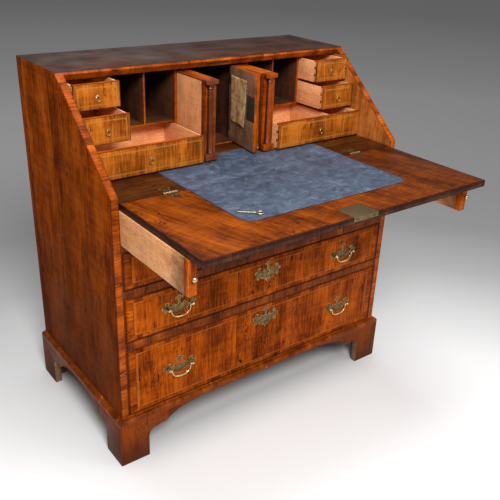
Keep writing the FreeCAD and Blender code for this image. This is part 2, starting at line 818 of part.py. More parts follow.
def shaped_plate(width, rise, drop, thickness):
    """A shaped brass plate in the plane Y = 0, its back there and its face towards -Y."""
    half, up, down, thick = (number_of(item) for item in (width / 2, rise, drop, thickness))
    spot = lambda across, height, sign: FreeCAD.Vector(
        sign * across * half, 0, height * (up if height > 0 else down)
    )
    starts = [(0, 1)] + [end for end, middle in WING_SHARES]
    arcs = [(low, middle, high) for low, (high, middle) in zip(starts, WING_SHARES)]
    edges = [Part.Arc(*(spot(*point, 1) for point in arc)).toShape() for arc in arcs]
    edges += [Part.Arc(*(spot(*point, -1) for point in arc[::-1])).toShape() for arc in arcs[::-1]]
    return Part.Face(Part.Wire(edges)).extrude(FreeCAD.Vector(0, -thick, 0))


def keyhole_tool(depth):
    """A keyhole through a plate in the plane Y = 0: a round head over a slot."""
    radius, slot, length = (number_of(item) for item in (d.keyhole_radius, d.keyhole_slot, d.keyhole_length))
    start = FreeCAD.Vector(0, depth, 0)
    head = Part.makeCylinder(radius, 2 * depth, start, FreeCAD.Vector(0, -1, 0))
    tail = Part.makeBox(slot, 2 * depth, length, FreeCAD.Vector(-slot / 2, -depth, -length))
    return head.fuse(tail)


# The two bolt slots in the lock's edge plate: their ends across it, and their height in it.
BOLT_SHARES = ((-0.72, -0.5), (0.5, 0.72))
BOLT_HEIGHT_SHARE = 0.45
SHOULDER_SHARE = 0.3


def fall_lock(fall_front, surface):
    """The fall's lock and keyhole plate, and the shapes that they are let into the wood with."""
    half, depth, shoulder = (number_of(item) for item in (d.lock_half_width, d.lock_depth, d.lock_shoulder))
    thick = number_of(d.lock_plate)
    y0, z1 = number_of(fall_front), number_of(surface)
    spot = lambda x, y: FreeCAD.Vector(x, y0 + y, z1 - thick)
    dip = shoulder * SHOULDER_SHARE
    low, high = depth - shoulder, depth
    edges = [
        Part.makeLine(spot(-half, 0), spot(half, 0)),
        Part.makeLine(spot(half, 0), spot(half, low)),
        Part.Arc(spot(half, low), spot(half - dip, high - dip), spot(half - shoulder, high)).toShape(),
        Part.makeLine(spot(half - shoulder, high), spot(shoulder - half, high)),
        Part.Arc(spot(shoulder - half, high), spot(dip - half, high - dip), spot(-half, low)).toShape(),
        Part.makeLine(spot(-half, low), spot(-half, 0)),
    ]
    plate = Part.Face(Part.Wire(edges)).extrude(FreeCAD.Vector(0, 0, thick))
    case_half, case_depth, case_thick = (
        number_of(item) for item in (d.lock_case_half_width, d.lock_case_depth, d.lock_case_thickness)
    )
    low_z = z1 - case_thick
    edge_plate = Part.makeBox(2 * half, thick, case_thick, FreeCAD.Vector(-half, y0, low_z))
    case = Part.makeBox(2 * case_half, case_depth, case_thick, FreeCAD.Vector(-case_half, y0, low_z))
    whole = plate.fuse([edge_plate, case]).removeSplitter()
    slot_high = case_thick * BOLT_HEIGHT_SHARE
    slots = []
    for start, end in BOLT_SHARES:
        corner = FreeCAD.Vector(half * start, y0 - thick, low_z + (case_thick - slot_high) / 2)
        slots.append(Part.makeBox(half * (end - start), 2 * thick, slot_high, corner))
    middle = fall_front + d.lock_case_depth / 2
    hole_depth = d.bed_thickness - d.lock_plate
    hole = rod("fall_keyhole", d.keyhole_radius, hole_depth, (0, middle, bed_under), "z")
    doc.recompute()
    lock = whole.cut(slots + [hole.Shape])
    plate_half, plate_high, plate_thick = (
        number_of(item) for item in (d.escutcheon_half_width, d.escutcheon_height, d.escutcheon_thickness)
    )
    centre = vector(0, middle, bed_under)
    ring = Part.Ellipse(centre, plate_half, plate_high / 2).toShape()
    oval = Part.Face(Part.Wire([ring])).extrude(FreeCAD.Vector(0, 0, plate_thick))
    escutcheon = shaped("fall_keyhole_plate", oval)
    sub_part(shaped("fall_lock", Part.makeCompound([lock, oval.cut(hole.Shape)])), "fall_lock")
    return [shaped("fall_lock_way", whole), escutcheon, hole]


def key(surface):
    """The key, lying on the fall's leather: a ring bow, a shank and a bit."""
    bow = doc.addObject("Part::Torus", "key_bow")
    bow.setExpression("Radius1", words_of(d.key_bow_radius))
    bow.setExpression("Radius2", words_of(d.key_bow_wire))
    shank = rod("key_shank_rod", d.key_shank_radius, d.key_shank, (d.key_bow_radius, 0, 0), "x")
    far = d.key_bow_radius + d.key_shank
    bit = board(
        "key_bit_plate",
        (far - d.key_bit_length, far),
        (-d.key_bit_width, 0),
        (-d.key_bit_thickness / 2, d.key_bit_thickness / 2),
    )
    whole = joined("key", [bow, shank, bit])
    turn = FreeCAD.Rotation(FreeCAD.Vector(0, 0, 1), ANGLES["key_turn"])
    whole.Placement = FreeCAD.Placement(FreeCAD.Vector(), turn)
    bind_place(whole, d.key_x, hinge_y - d.key_from_seam, surface + d.key_bow_wire)
    sub_part(whole, "key")


# A loper knob's outline from its neck to its tip: radius and reach.
KNOB_SHARES = ((0.5, 0.0), (0.5, 0.35), (1.0, 0.55), (1.0, 0.8), (0.6, 1.0), (0.0, 1.0))


def lopers():
    """Two oak lopers with walnut facings and brass knobs, pulled out under the fall."""
    low, high = ROWS[-1][1], ROWS[-1][2]
    height = (low + d.loper_foot_gap, high - d.fit_gap)
    face = front - d.loper_reach
    for side, sign in SIDES:
        x = mirrored_pair(loper_inner + d.loper_gap, inside - d.loper_gap, sign)
        bar = board("loper_bar_" + side, x, (face + d.loper_facing, face + d.loper_length), height)
        facing = board("loper_facing_" + side, x, (face, face + d.loper_facing), height)
        middle = (x[0] + x[1]) / 2
        rise = (height[0] + height[1]) / 2
        hole_radius = d.knob_shank_radius + d.fit_gap
        hole = rod("knob_hole_" + side, hole_radius, d.knob_shank + d.fit_gap, (middle, face, rise), "y")
        group(side + "_loper", [bar, without("bored_facing_" + side, facing, [hole])])
        outline = [(0, d.knob_shank), (d.knob_shank_radius, d.knob_shank), (d.knob_shank_radius, 0)]
        outline += [(d.knob_radius * out, -d.knob_reach * along) for out, along in KNOB_SHARES]
        knob = turned(side + "_loper_knob", outline, (middle, face, rise), "y")
        sub_part(knob, side + "_loper_knob")


def drawer(name, x, z, face, cut):
    """A dovetailed drawer as separate boards; cut names the board sizes that this drawer uses."""
    front_thick, wall, floor, lift, drop, length = cut
    behind = face + front_thick
    far = face + length
    side_high = z[1] - drop
    floor_z = z[0] + lift
    within = (x[0] + wall, x[1] - wall)
    return [
        board(name + "_front", x, (face, behind), z),
        board(name + "_side_left", (x[0], x[0] + wall), (behind, far), (z[0], side_high)),
        board(name + "_side_right", (x[1] - wall, x[1]), (behind, far), (z[0], side_high)),
        board(name + "_back", within, (far - wall, far), (floor_z, side_high)),
        board(name + "_floor", within, (behind, far - wall), (floor_z, floor_z + floor)),
    ]


def bail_shape(centre_x, axis_y, axis_z):
    """A hanging bail between two posts: a basket arch of wire on two short pivot pins."""
    head = number_of(d.post_head_radius)
    span = number_of(d.post_spacing) / 2
    wire = number_of(d.bail_wire)
    reach = span - head - number_of(d.fit_gap) - wire
    drop = number_of(d.bail_drop)
    angle = math.radians(ANGLES["bail_turn"])
    share = (1 - math.sin(angle)) / math.cos(angle)
    small = (drop - reach * share) / (1 - share)
    large = small + (reach - small) / math.cos(angle)
    x, y, z = number_of(centre_x), number_of(axis_y), number_of(axis_z)
    spot = lambda across, down: FreeCAD.Vector(x + across, y, z - down)

    def on_small(turn, sign):
        return spot(sign * (reach - small + small * math.cos(turn)), small * math.sin(turn))

    def on_large(turn, sign):
        return spot(sign * large * math.cos(turn), drop - large + large * math.sin(turn))

    rest = (angle + math.pi / 2) / 2
    edges = [
        Part.Arc(on_small(0, -1), on_small(angle / 2, -1), on_small(angle, -1)).toShape(),
        Part.Arc(on_large(angle, -1), on_large(rest, -1), on_large(math.pi / 2, 1)).toShape(),
        Part.Arc(on_large(math.pi / 2, 1), on_large(rest, 1), on_large(angle, 1)).toShape(),
        Part.Arc(on_small(angle, 1), on_small(angle / 2, 1), on_small(0, 1)).toShape(),
    ]
    path = Part.Wire(edges)
    ring = Part.Wire(Part.makeCircle(wire, spot(-reach, 0), FreeCAD.Vector(0, 0, 1)))
    bail = path.makePipeShell([ring], True, False)
    pieces = []
    for sign in (-1, 1):
        end = spot(sign * reach, 0)
        outward = FreeCAD.Vector(sign, 0, 0)
        pieces.append(Part.makeSphere(wire, end))
        pieces.append(Part.makeCylinder(number_of(d.bail_pin_radius), span - reach, end, outward))
    return bail.fuse(pieces)


# A post head's rounding and its nut's thickness, as shares of the head's radius.
HEAD_ROUND_SHARE = 0.3
NUT_SHARE = 0.6


def post_shape(centre_x, face_y, axis_z):
    """A handle's post: a bolt through the drawer front with a drilled head and a nut behind."""
    x, y, z = number_of(centre_x), number_of(face_y), number_of(axis_z)
    inside_y = y + number_of(d.drawer_front)
    stand = number_of(d.bail_stand_off)
    head = number_of(d.post_head_length)
    nut = number_of(d.post_head_radius)
    out = FreeCAD.Vector(0, -1, 0)
    place = lambda deep: FreeCAD.Vector(x, deep, z)
    shaft_length = inside_y - y + stand + nut
    shaft = Part.makeCylinder(number_of(d.post_radius), shaft_length, place(inside_y + nut), out)
    ball = Part.makeCylinder(nut, head, place(y - stand + head / 2), out)
    ball = ball.makeFillet(nut * HEAD_ROUND_SHARE, [edge for edge in ball.Edges if edge.isClosed()])
    nut_thick = nut * NUT_SHARE
    nut_piece = Part.makeCylinder(nut, nut_thick, place(inside_y + nut_thick), out)
    hole = number_of(d.bail_pin_radius) + number_of(d.bail_hole_gap)
    start = place(y - stand) - FreeCAD.Vector(2 * nut, 0, 0)
    across = Part.makeCylinder(hole, 4 * nut, start, FreeCAD.Vector(1, 0, 0))
    return shaft.fuse([ball, nut_piece]).cut(across)


def main_drawers():
    """The four drawers below the desk, each with two handles, a keyhole plate and a lock."""
    cut = (
        d.drawer_front,
        d.drawer_wall,
        d.drawer_floor,
        d.drawer_floor_lift,
        d.drawer_side_drop,
        d.drawer_length,
    )
    for name, low, high in ROWS:
        half = divider_inner if name == "top" else inside
        x = (d.drawer_side_gap - half, half - d.drawer_side_gap)
        z = (low + d.fit_gap, high - d.drawer_top_gap)
        label = name + "_drawer"
        boards = drawer(label, x, z, front, cut)
        middle = (low + high) / 2
        plates = []
        bails = []
        holes = []
        for sign in (-1, 1):
            centre = inside * WIDTH_SHARES["handle"] * sign
            plate = shaped_plate(d.plate_width, d.plate_rise, d.plate_drop, d.plate_thickness)
            plate.translate(vector(centre, front, middle))
            posts = []
            for side in (-1, 1):
                post_x = centre + d.post_spacing / 2 * side
                posts.append(post_shape(post_x, front, middle))
                spot = (post_x, front, middle)
                hole = label + "_bolt_hole_" + str(len(holes))
                holes.append(rod(hole, d.post_radius + d.fit_gap, d.drawer_front, spot, "y"))
            plates += [plate.cut(posts)] + posts
            bails.append(bail_shape(centre, front - d.bail_stand_off, middle))
        plates += keyhole_fittings(z)
        way = board(
            label + "_lock_way",
            (-d.drawer_lock_half_width, d.drawer_lock_half_width),
            (front + d.drawer_front - d.drawer_lock_thickness, front + d.drawer_front),
            (z[1] - d.drawer_lock_height, z[1]),
        )
        mouth = rod(label + "_keyhole", d.keyhole_radius, d.drawer_front, keyhole_place(z), "y")
        boards[0] = without(label + "_bored_front", boards[0], holes + [way, mouth])
        group(label, boards)
        sub_part(shaped(name + "_brasses", Part.makeCompound(plates)), name + "_brasses")
        sub_part(shaped(name + "_bails", Part.makeCompound(bails)), name + "_bails")


def keyhole_place(z):
    """The keyhole's middle on a drawer front, kept inside a shallow front."""
    height = z[1] - z[0]
    if number_of(height) > number_of(d.keyplate_rise + d.keyhole_below_top):
        return (0, front, z[1] - d.keyhole_below_top)
    return (0, front, (z[0] + z[1]) / 2)


def keyhole_fittings(z):
    """A shaped keyhole plate on the face and a lock let in behind it."""
    _, _, level = keyhole_place(z)
    thick = number_of(d.plate_thickness)
    plate = shaped_plate(d.keyplate_width, d.keyplate_rise, d.keyplate_drop, d.plate_thickness)
    plate = plate.cut(keyhole_tool(2 * thick))
    plate.translate(vector(0, front, level))
    half, height, deep = (
        number_of(item) for item in (d.drawer_lock_half_width, d.drawer_lock_height, d.drawer_lock_thickness)
    )
    lock_face = front + d.drawer_front - d.drawer_lock_thickness
    corner = vector(-d.drawer_lock_half_width, lock_face, z[1] - d.drawer_lock_height)
    case = Part.makeBox(2 * half, deep, height, corner)
    mouth = Part.makeCylinder(
        number_of(d.keyhole_radius), 4 * deep, vector(0, front, level), FreeCAD.Vector(0, 1, 0)
    )
    return [plate, case.cut(mouth)]


# Levels of the fitted interior.
fit_floor = writing_height + d.fittings_base
fit_front = front + d.fittings_front
fit_back = back_inside - d.fittings_back
fit_roof = top_under - d.fittings_roof
small_free = fit_roof - fit_floor - d.shelf_thickness - d.drawer_shelf
wide_roof = fit_floor + small_free * SMALL_ROW_SHARES["wide"]
shelf_top = wide_roof + d.shelf_thickness
small_roof = shelf_top + small_free * SMALL_ROW_SHARES["lower"]
small_shelf_top = small_roof + d.drawer_shelf
slide_inner = d.cupboard_half_width + d.small_gap
slide_outer = slide_inner + d.slide_width
partition_inner = slide_outer + d.small_gap
partition_outer = partition_inner + d.slide_partition
small_outer = inside - d.outer_lining
pigeonhole_middle = inside * WIDTH_SHARES["pigeonhole_middle"]
pigeonhole_outer = inside * WIDTH_SHARES["pigeonhole_outer"]
small_inner = pigeonhole_outer + d.upright_thickness


def fitted_interior():
    """The fixed framing of the fitted interior: a base, uprights, shelves, roof and back."""
    depth = (fit_front, fit_back)
    width = (-inside, inside)
    floor_depth = (front + d.fittings_base_front, fit_back)
    frame = [
        board("fittings_floor", width, floor_depth, (writing_height, fit_floor)),
        board("fittings_roof", width, depth, (fit_roof, top_under)),
        board("fittings_rear", width, (fit_back, back_inside), (writing_height, top_under)),
    ]
    uprights = []
    shelves = []
    for side, sign in SIDES:
        lining = mirrored_pair(small_outer, inside, sign)
        uprights.append(board("lining_" + side, lining, depth, (fit_floor, fit_roof)))
        inner = mirrored_pair(partition_inner, partition_outer, sign)
        uprights.append(board("partition_" + side, inner, depth, (fit_floor, fit_roof)))
        thin = d.thin_upright / 2
        middle = mirrored_pair(pigeonhole_middle - thin, pigeonhole_middle + thin, sign)
        uprights.append(board("pigeonhole_upright_" + side, middle, depth, (shelf_top, fit_roof)))
        outer = mirrored_pair(pigeonhole_outer, small_inner, sign)
        uprights.append(board("drawer_upright_" + side, outer, depth, (shelf_top, fit_roof)))
        wall = mirrored_pair(d.cupboard_half_width - d.cupboard_wall, d.cupboard_half_width, sign)
        wall_depth = (fit_front + d.door_thickness + d.fit_gap + d.fit_gap, fit_back)
        uprights.append(board("cupboard_wall_" + side, wall, wall_depth, (fit_floor, fit_roof)))
        across = mirrored_pair(partition_outer, small_outer, sign)
        shelves.append(board("shelf_" + side, across, depth, (wide_roof, shelf_top)))
        across = mirrored_pair(small_inner, small_outer, sign)
        shelves.append(board("drawer_shelf_" + side, across, depth, (small_roof, small_shelf_top)))
    head = (-partition_inner, partition_inner)
    head_depth = (fit_front, fit_front + d.door_thickness)
    shelves.append(board("head_strip", head, head_depth, (fit_roof - d.head_rail, fit_roof)))
    group("fittings_case", frame)
    group("fittings_uprights", uprights)
    group("fittings_shelves", shelves)


def ring_and_post(name, x, face, z):
    """A drop ring with its post and rose; the ring hangs from the post's eye."""
    rose = rod(name + "_rose", d.ring_rose_radius, d.ring_rose, (x, face - d.ring_rose, z), "y")
    post = rod(name + "_post", d.ring_post_radius, d.ring_post_reach, (x, face - d.ring_post_reach, z), "y")
    eye_radius = d.ring_wire + d.ring_eye_gap
    eye_y = face - d.ring_post_reach + d.ring_post_radius
    eye = rod(name + "_eye", eye_radius, 4 * d.ring_post_radius, (x - 2 * d.ring_post_radius, eye_y, z), "x")
    ring = doc.addObject("Part::Torus", name + "_ring_turned")
    ring.setExpression("Radius1", words_of(d.ring_radius))
    ring.setExpression("Radius2", words_of(d.ring_wire))
    ring.Placement = FreeCAD.Placement(FreeCAD.Vector(), FreeCAD.Rotation(FreeCAD.Vector(1, 0, 0), 90))
    bind_place(ring, x, eye_y, z - d.ring_radius)
    standing = without(name + "_drilled_post", joined(name + "_post_and_rose", [rose, post]), [eye])
    return standing, ring


def interior_drawers():
    """Six small drawers, three each side, pulled out by different amounts."""
    cut = (d.small_front, d.small_wall, d.small_floor, 0, d.small_side_drop, d.small_length)
    plan = (
        ("wide", partition_outer, fit_floor, wide_roof, d.wide_pull_left, d.wide_pull_right),
        ("lower", small_inner, shelf_top, small_roof, d.lower_pull_left, d.lower_pull_right),
        ("upper", small_inner, small_shelf_top, fit_roof, d.upper_pull_left, d.upper_pull_right),
    )
    for kind, inner, low, high, pull_left, pull_right in plan:
        for (side, sign), pull in zip(SIDES, (pull_left, pull_right)):
            name = side + "_" + kind + "_drawer"
            x = mirrored_pair(inner + d.small_gap, small_outer - d.small_gap, sign)
            z = (low + d.fit_gap, high - d.small_top_gap)
            face = fit_front - pull
            boards = drawer(name, x, z, face, cut)
            if kind == "wide" and side == "right":
                ink_place = inside * WIDTH_SHARES["ink_partition"]
                ink = (ink_place, ink_place + d.ink_partition_thickness)
                inner_y = (face + d.small_front, face + d.small_length - d.small_wall)
                height = (z[0] + d.small_floor, z[1] - d.small_side_drop - d.small_side_drop)
                boards.append(board(name + "_ink_partition", ink, inner_y, height))
            middle = (x[0] + x[1]) / 2
            post, ring = ring_and_post(name, middle, face, (z[0] + z[1]) / 2)
            group(name, boards + [post])
            sub_part(ring, side + "_" + kind + "_ring")


# A half column's outline from its base up: radius, and height in rings from the foot or the head.
COLUMN_FOOT_SHARES = ((1.0, 0.0), (1.0, 1.0), (0.8, 1.5), (1.0, 2.0), (0.86, 3.0))
COLUMN_HEAD_SHARES = ((0.74, 4.0), (1.0, 3.0), (0.78, 2.0), (1.0, 1.0), (1.0, 0.0))
COLUMN_RING_SHARE = 0.32


def document_slides():
    """Two tall narrow boxes, open towards the cupboard, each faced with a turned half column."""
    for side, sign in SIDES:
        pull = d.slide_pull_left if side == "left" else d.slide_pull_right
        face = fit_front - pull
        name = side + "_slide"
        x = mirrored_pair(slide_inner, slide_outer, sign)
        outer = mirrored_pair(slide_outer - d.slide_board, slide_outer, sign)
        within = mirrored_pair(slide_inner, slide_outer - d.slide_board, sign)
        z = (fit_floor + d.fit_gap, fit_roof - d.slide_head_gap)
        floor_top = z[0] + d.slide_board
        roof_under = z[1] - d.slide_board
        board_face = face + d.slide_block_reach
        behind = board_face + d.slide_front
        far = face + d.small_length
        depth = (behind, far)
        base_top_z = z[0] + d.slide_base_block
        head_under = z[1] - d.slide_head_block
        pieces = [
            board(name + "_front", x, (board_face, behind), z),
            board(name + "_top", x, depth, (roof_under, z[1])),
            board(name + "_floor", x, depth, (z[0], floor_top)),
            board(name + "_side", outer, depth, (floor_top, roof_under)),
            board(name + "_back", within, (far - d.slide_board, far), (floor_top, roof_under)),
            board(name + "_base_block", x, (face, board_face), (z[0], base_top_z)),
            board(name + "_head_block", x, (face, board_face), (head_under, z[1])),
        ]
        height = head_under - base_top_z
        radius = d.column_radius
        ring = radius * COLUMN_RING_SHARE
        outline = [(0, 0)]
        outline += [(radius * out, ring * up) for out, up in COLUMN_FOOT_SHARES]
        outline += [(radius * out, height - ring * down) for out, down in COLUMN_HEAD_SHARES]
        outline.append((0, height))
        place = ((x[0] + x[1]) / 2, board_face, base_top_z)
        pieces.append(turned(name + "_column", outline, place, "z", True))
        group(name, pieces)


# The cupboard door's lock: its foot and its height, as shares of the door's height.
DOOR_LOCK_SHARES = (0.388, 0.318)


def cupboard_door():
    """The cupboard door with its ring, leaves and lock, made shut and then turned open."""
    hinge_x = slide_inner - d.door_side_gap
    pin = (hinge_x, fit_front - d.fit_gap, fit_floor)
    low = d.fit_gap
    door_height = fit_roof - fit_floor - d.door_head_gap - low
    leaf = board("door_leaf", (-d.door_width, 0), (0, d.door_thickness), (low, low + door_height))
    lock_low = low + door_height * DOOR_LOCK_SHARES[0]
    lock_high = lock_low + door_height * DOOR_LOCK_SHARES[1]
    lock = board(
        "door_lock",
        (-d.door_width, d.door_lock_width - d.door_width),
        (d.door_thickness - d.hinge_plate, d.door_thickness),
        (lock_low, lock_high),
    )
    leaves = [lock]
    high_leaf = door_height - d.door_leaf_place - d.door_leaf_length
    for place, level in (("low", d.door_leaf_place), ("high", high_leaf)):
        leaves.append(
            board(
                "door_hinge_" + place,
                (-d.door_leaf_width, 0),
                (d.door_thickness - d.hinge_plate, d.door_thickness),
                (low + level, low + level + d.door_leaf_length),
            )
        )
    handle_x = d.door_lock_width / 2 - d.door_width
    post, ring = ring_and_post("door", handle_x, 0, (lock_low + lock_high) / 2)
    bored = without("door_bored", leaf, leaves)
    turn = FreeCAD.Rotation(FreeCAD.Vector(0, 0, 1), ANGLES["door_open"])
    for name, pieces in (("cupboard_door", [bored, post]), ("door_ring", [ring]), ("door_fittings", leaves)):
        item = doc.addObject("Part::Compound", name)
        item.Links = pieces
        item.Placement = FreeCAD.Placement(FreeCAD.Vector(), turn)
        item.setExpression(".Placement.Rotation.Angle", words_of(d.door_open))
        bind_place(item, pin[0], pin[1], pin[2])
        sub_part(item, name)


def write_parts():
    """Check every object, then write each sub-part to its own file."""
    doc.recompute()
    for item in doc.Objects:
        if "Invalid" in item.State or "Error" in item.State:
            raise RuntimeError("failed object " + item.Name + " " + str(item.State))
    os.makedirs("parts", exist_ok=True)
    for name, item in finished.items():
        shape = item.Shape
        if shape.isNull() or not shape.isValid() or not shape.Solids:
            raise RuntimeError("bad shape " + name)
    for name, item in finished.items():
        item.Shape.exportStep(os.path.join("parts", name + ".step"))
    print(len(finished), "sub-parts written")


carcase()
rails_and_runners()
base_moulding()
feet()
writing_bed_and_fall()
lopers()
main_drawers()
fitted_interior()
interior_drawers()
document_slides()
cupboard_door()
write_parts()
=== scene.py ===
# A walnut fall-front bureau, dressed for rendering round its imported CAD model.
import json
import math
import random

import bmesh
import bpy
from mathutils import Matrix, Vector

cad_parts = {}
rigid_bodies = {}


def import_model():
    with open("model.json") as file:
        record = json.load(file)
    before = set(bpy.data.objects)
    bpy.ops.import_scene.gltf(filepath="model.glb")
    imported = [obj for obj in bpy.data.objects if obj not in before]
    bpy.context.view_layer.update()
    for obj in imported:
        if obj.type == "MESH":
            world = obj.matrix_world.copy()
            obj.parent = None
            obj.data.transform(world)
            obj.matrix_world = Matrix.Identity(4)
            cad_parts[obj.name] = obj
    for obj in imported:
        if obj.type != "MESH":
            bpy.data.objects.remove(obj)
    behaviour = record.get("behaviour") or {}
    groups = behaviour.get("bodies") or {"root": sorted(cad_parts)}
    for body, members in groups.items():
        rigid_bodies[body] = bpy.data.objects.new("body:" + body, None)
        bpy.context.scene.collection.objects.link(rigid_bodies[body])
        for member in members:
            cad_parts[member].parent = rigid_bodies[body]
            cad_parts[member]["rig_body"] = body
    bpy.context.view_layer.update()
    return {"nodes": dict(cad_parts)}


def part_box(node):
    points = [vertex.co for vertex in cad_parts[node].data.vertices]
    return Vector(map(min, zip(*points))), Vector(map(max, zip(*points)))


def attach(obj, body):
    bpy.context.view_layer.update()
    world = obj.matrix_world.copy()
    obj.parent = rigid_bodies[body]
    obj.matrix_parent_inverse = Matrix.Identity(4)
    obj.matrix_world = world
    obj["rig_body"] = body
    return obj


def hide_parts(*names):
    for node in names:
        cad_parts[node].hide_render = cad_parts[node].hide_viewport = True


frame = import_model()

# The carcase sides are walnut veneer with the grain upright, laid on in wide sheets whose joints
# have opened into fine dark cracks. Their front edges, upright and sloping, are cross-banded:
# short pieces of veneer with the grain running across the edge.


def sums(*kinds):
    """One method for each kind of sum: it adds the node that works the sum out."""
    return [lambda value, *others, kind=kind: value.tree.sum(kind, value, *others) for kind in kinds]


class Value:
    """What a node gives out. Sums with it are written plainly, and each adds a node."""

    def __init__(self, tree, socket):
        self.tree, self.socket = tree, socket

    __add__, __sub__, __mul__, __truediv__ = sums("ADD", "SUBTRACT", "MULTIPLY", "DIVIDE")
    __pow__, __mod__, __abs__, __floor__ = sums("POWER", "FLOORED_MODULO", "ABSOLUTE", "FLOOR")
    __lt__, __gt__, least, most = sums("LESS_THAN", "GREATER_THAN", "MINIMUM", "MAXIMUM")
    cosine, sine, sign, angle = sums("COSINE", "SINE", "SIGN", "ARCTAN2")

    def __rsub__(self, other):
        return self.tree.sum("SUBTRACT", other, self)

    def reach(self, other):
        """The straight distance made by this one and another at a right angle to it."""
        return (self * self + other * other) ** 0.5

    def smooth(self, low, high, bottom=0.0, top=1.0):
        """A soft step from bottom to top while the value goes from low to high."""
        inputs = {"Value": self, "From Min": low, "From Max": high, "To Min": bottom, "To Max": top}
        return self.tree.add("MapRange", inputs, interpolation_type="SMOOTHSTEP")

    def ramp(self, stops):
        """A colour for each value, from (value, colour) stops."""
        colour = self.tree.add("ValToRGB", {0: self})
        elements = colour.socket.node.color_ramp.elements
        while len(elements) < len(stops):
            elements.new(0.5)
        for element, (position, tone) in zip(elements, stops):
            element.position = position
            element.color = (*tone, 1.0)
        return colour


class Tree:
    """A tree of nodes, with short calls that add to it."""

    def __init__(self, tree):
        self.tree = tree

    def feed(self, node, inputs):
        """Links or sets a node's inputs, each told by its name or number."""
        for title, value in inputs.items():
            socket = node.inputs[title]
            if isinstance(value, Value):
                self.tree.links.new(value.socket, socket)
            else:
                socket.default_value = (*value, 1.0) if socket.type == "RGBA" else value

    def add(self, kind, inputs=None, output=0, family="ShaderNode", **settings):
        """What a new node gives out."""
        node = self.tree.nodes.new(family + kind)
        for title, setting in settings.items():
            setattr(node, title, setting)
        self.feed(node, inputs or {})
        return Value(self, node.outputs[output])

    def sum(self, kind, *values):
        return self.add("Math", dict(enumerate(values)), operation=kind)

    def point(self, x, y, z):
        return self.add("CombineXYZ", {"X": x, "Y": y, "Z": z})

    def split(self, vector):
        outputs = self.add("SeparateXYZ", {0: vector}).socket.node.outputs
        return [Value(self, output) for output in outputs]


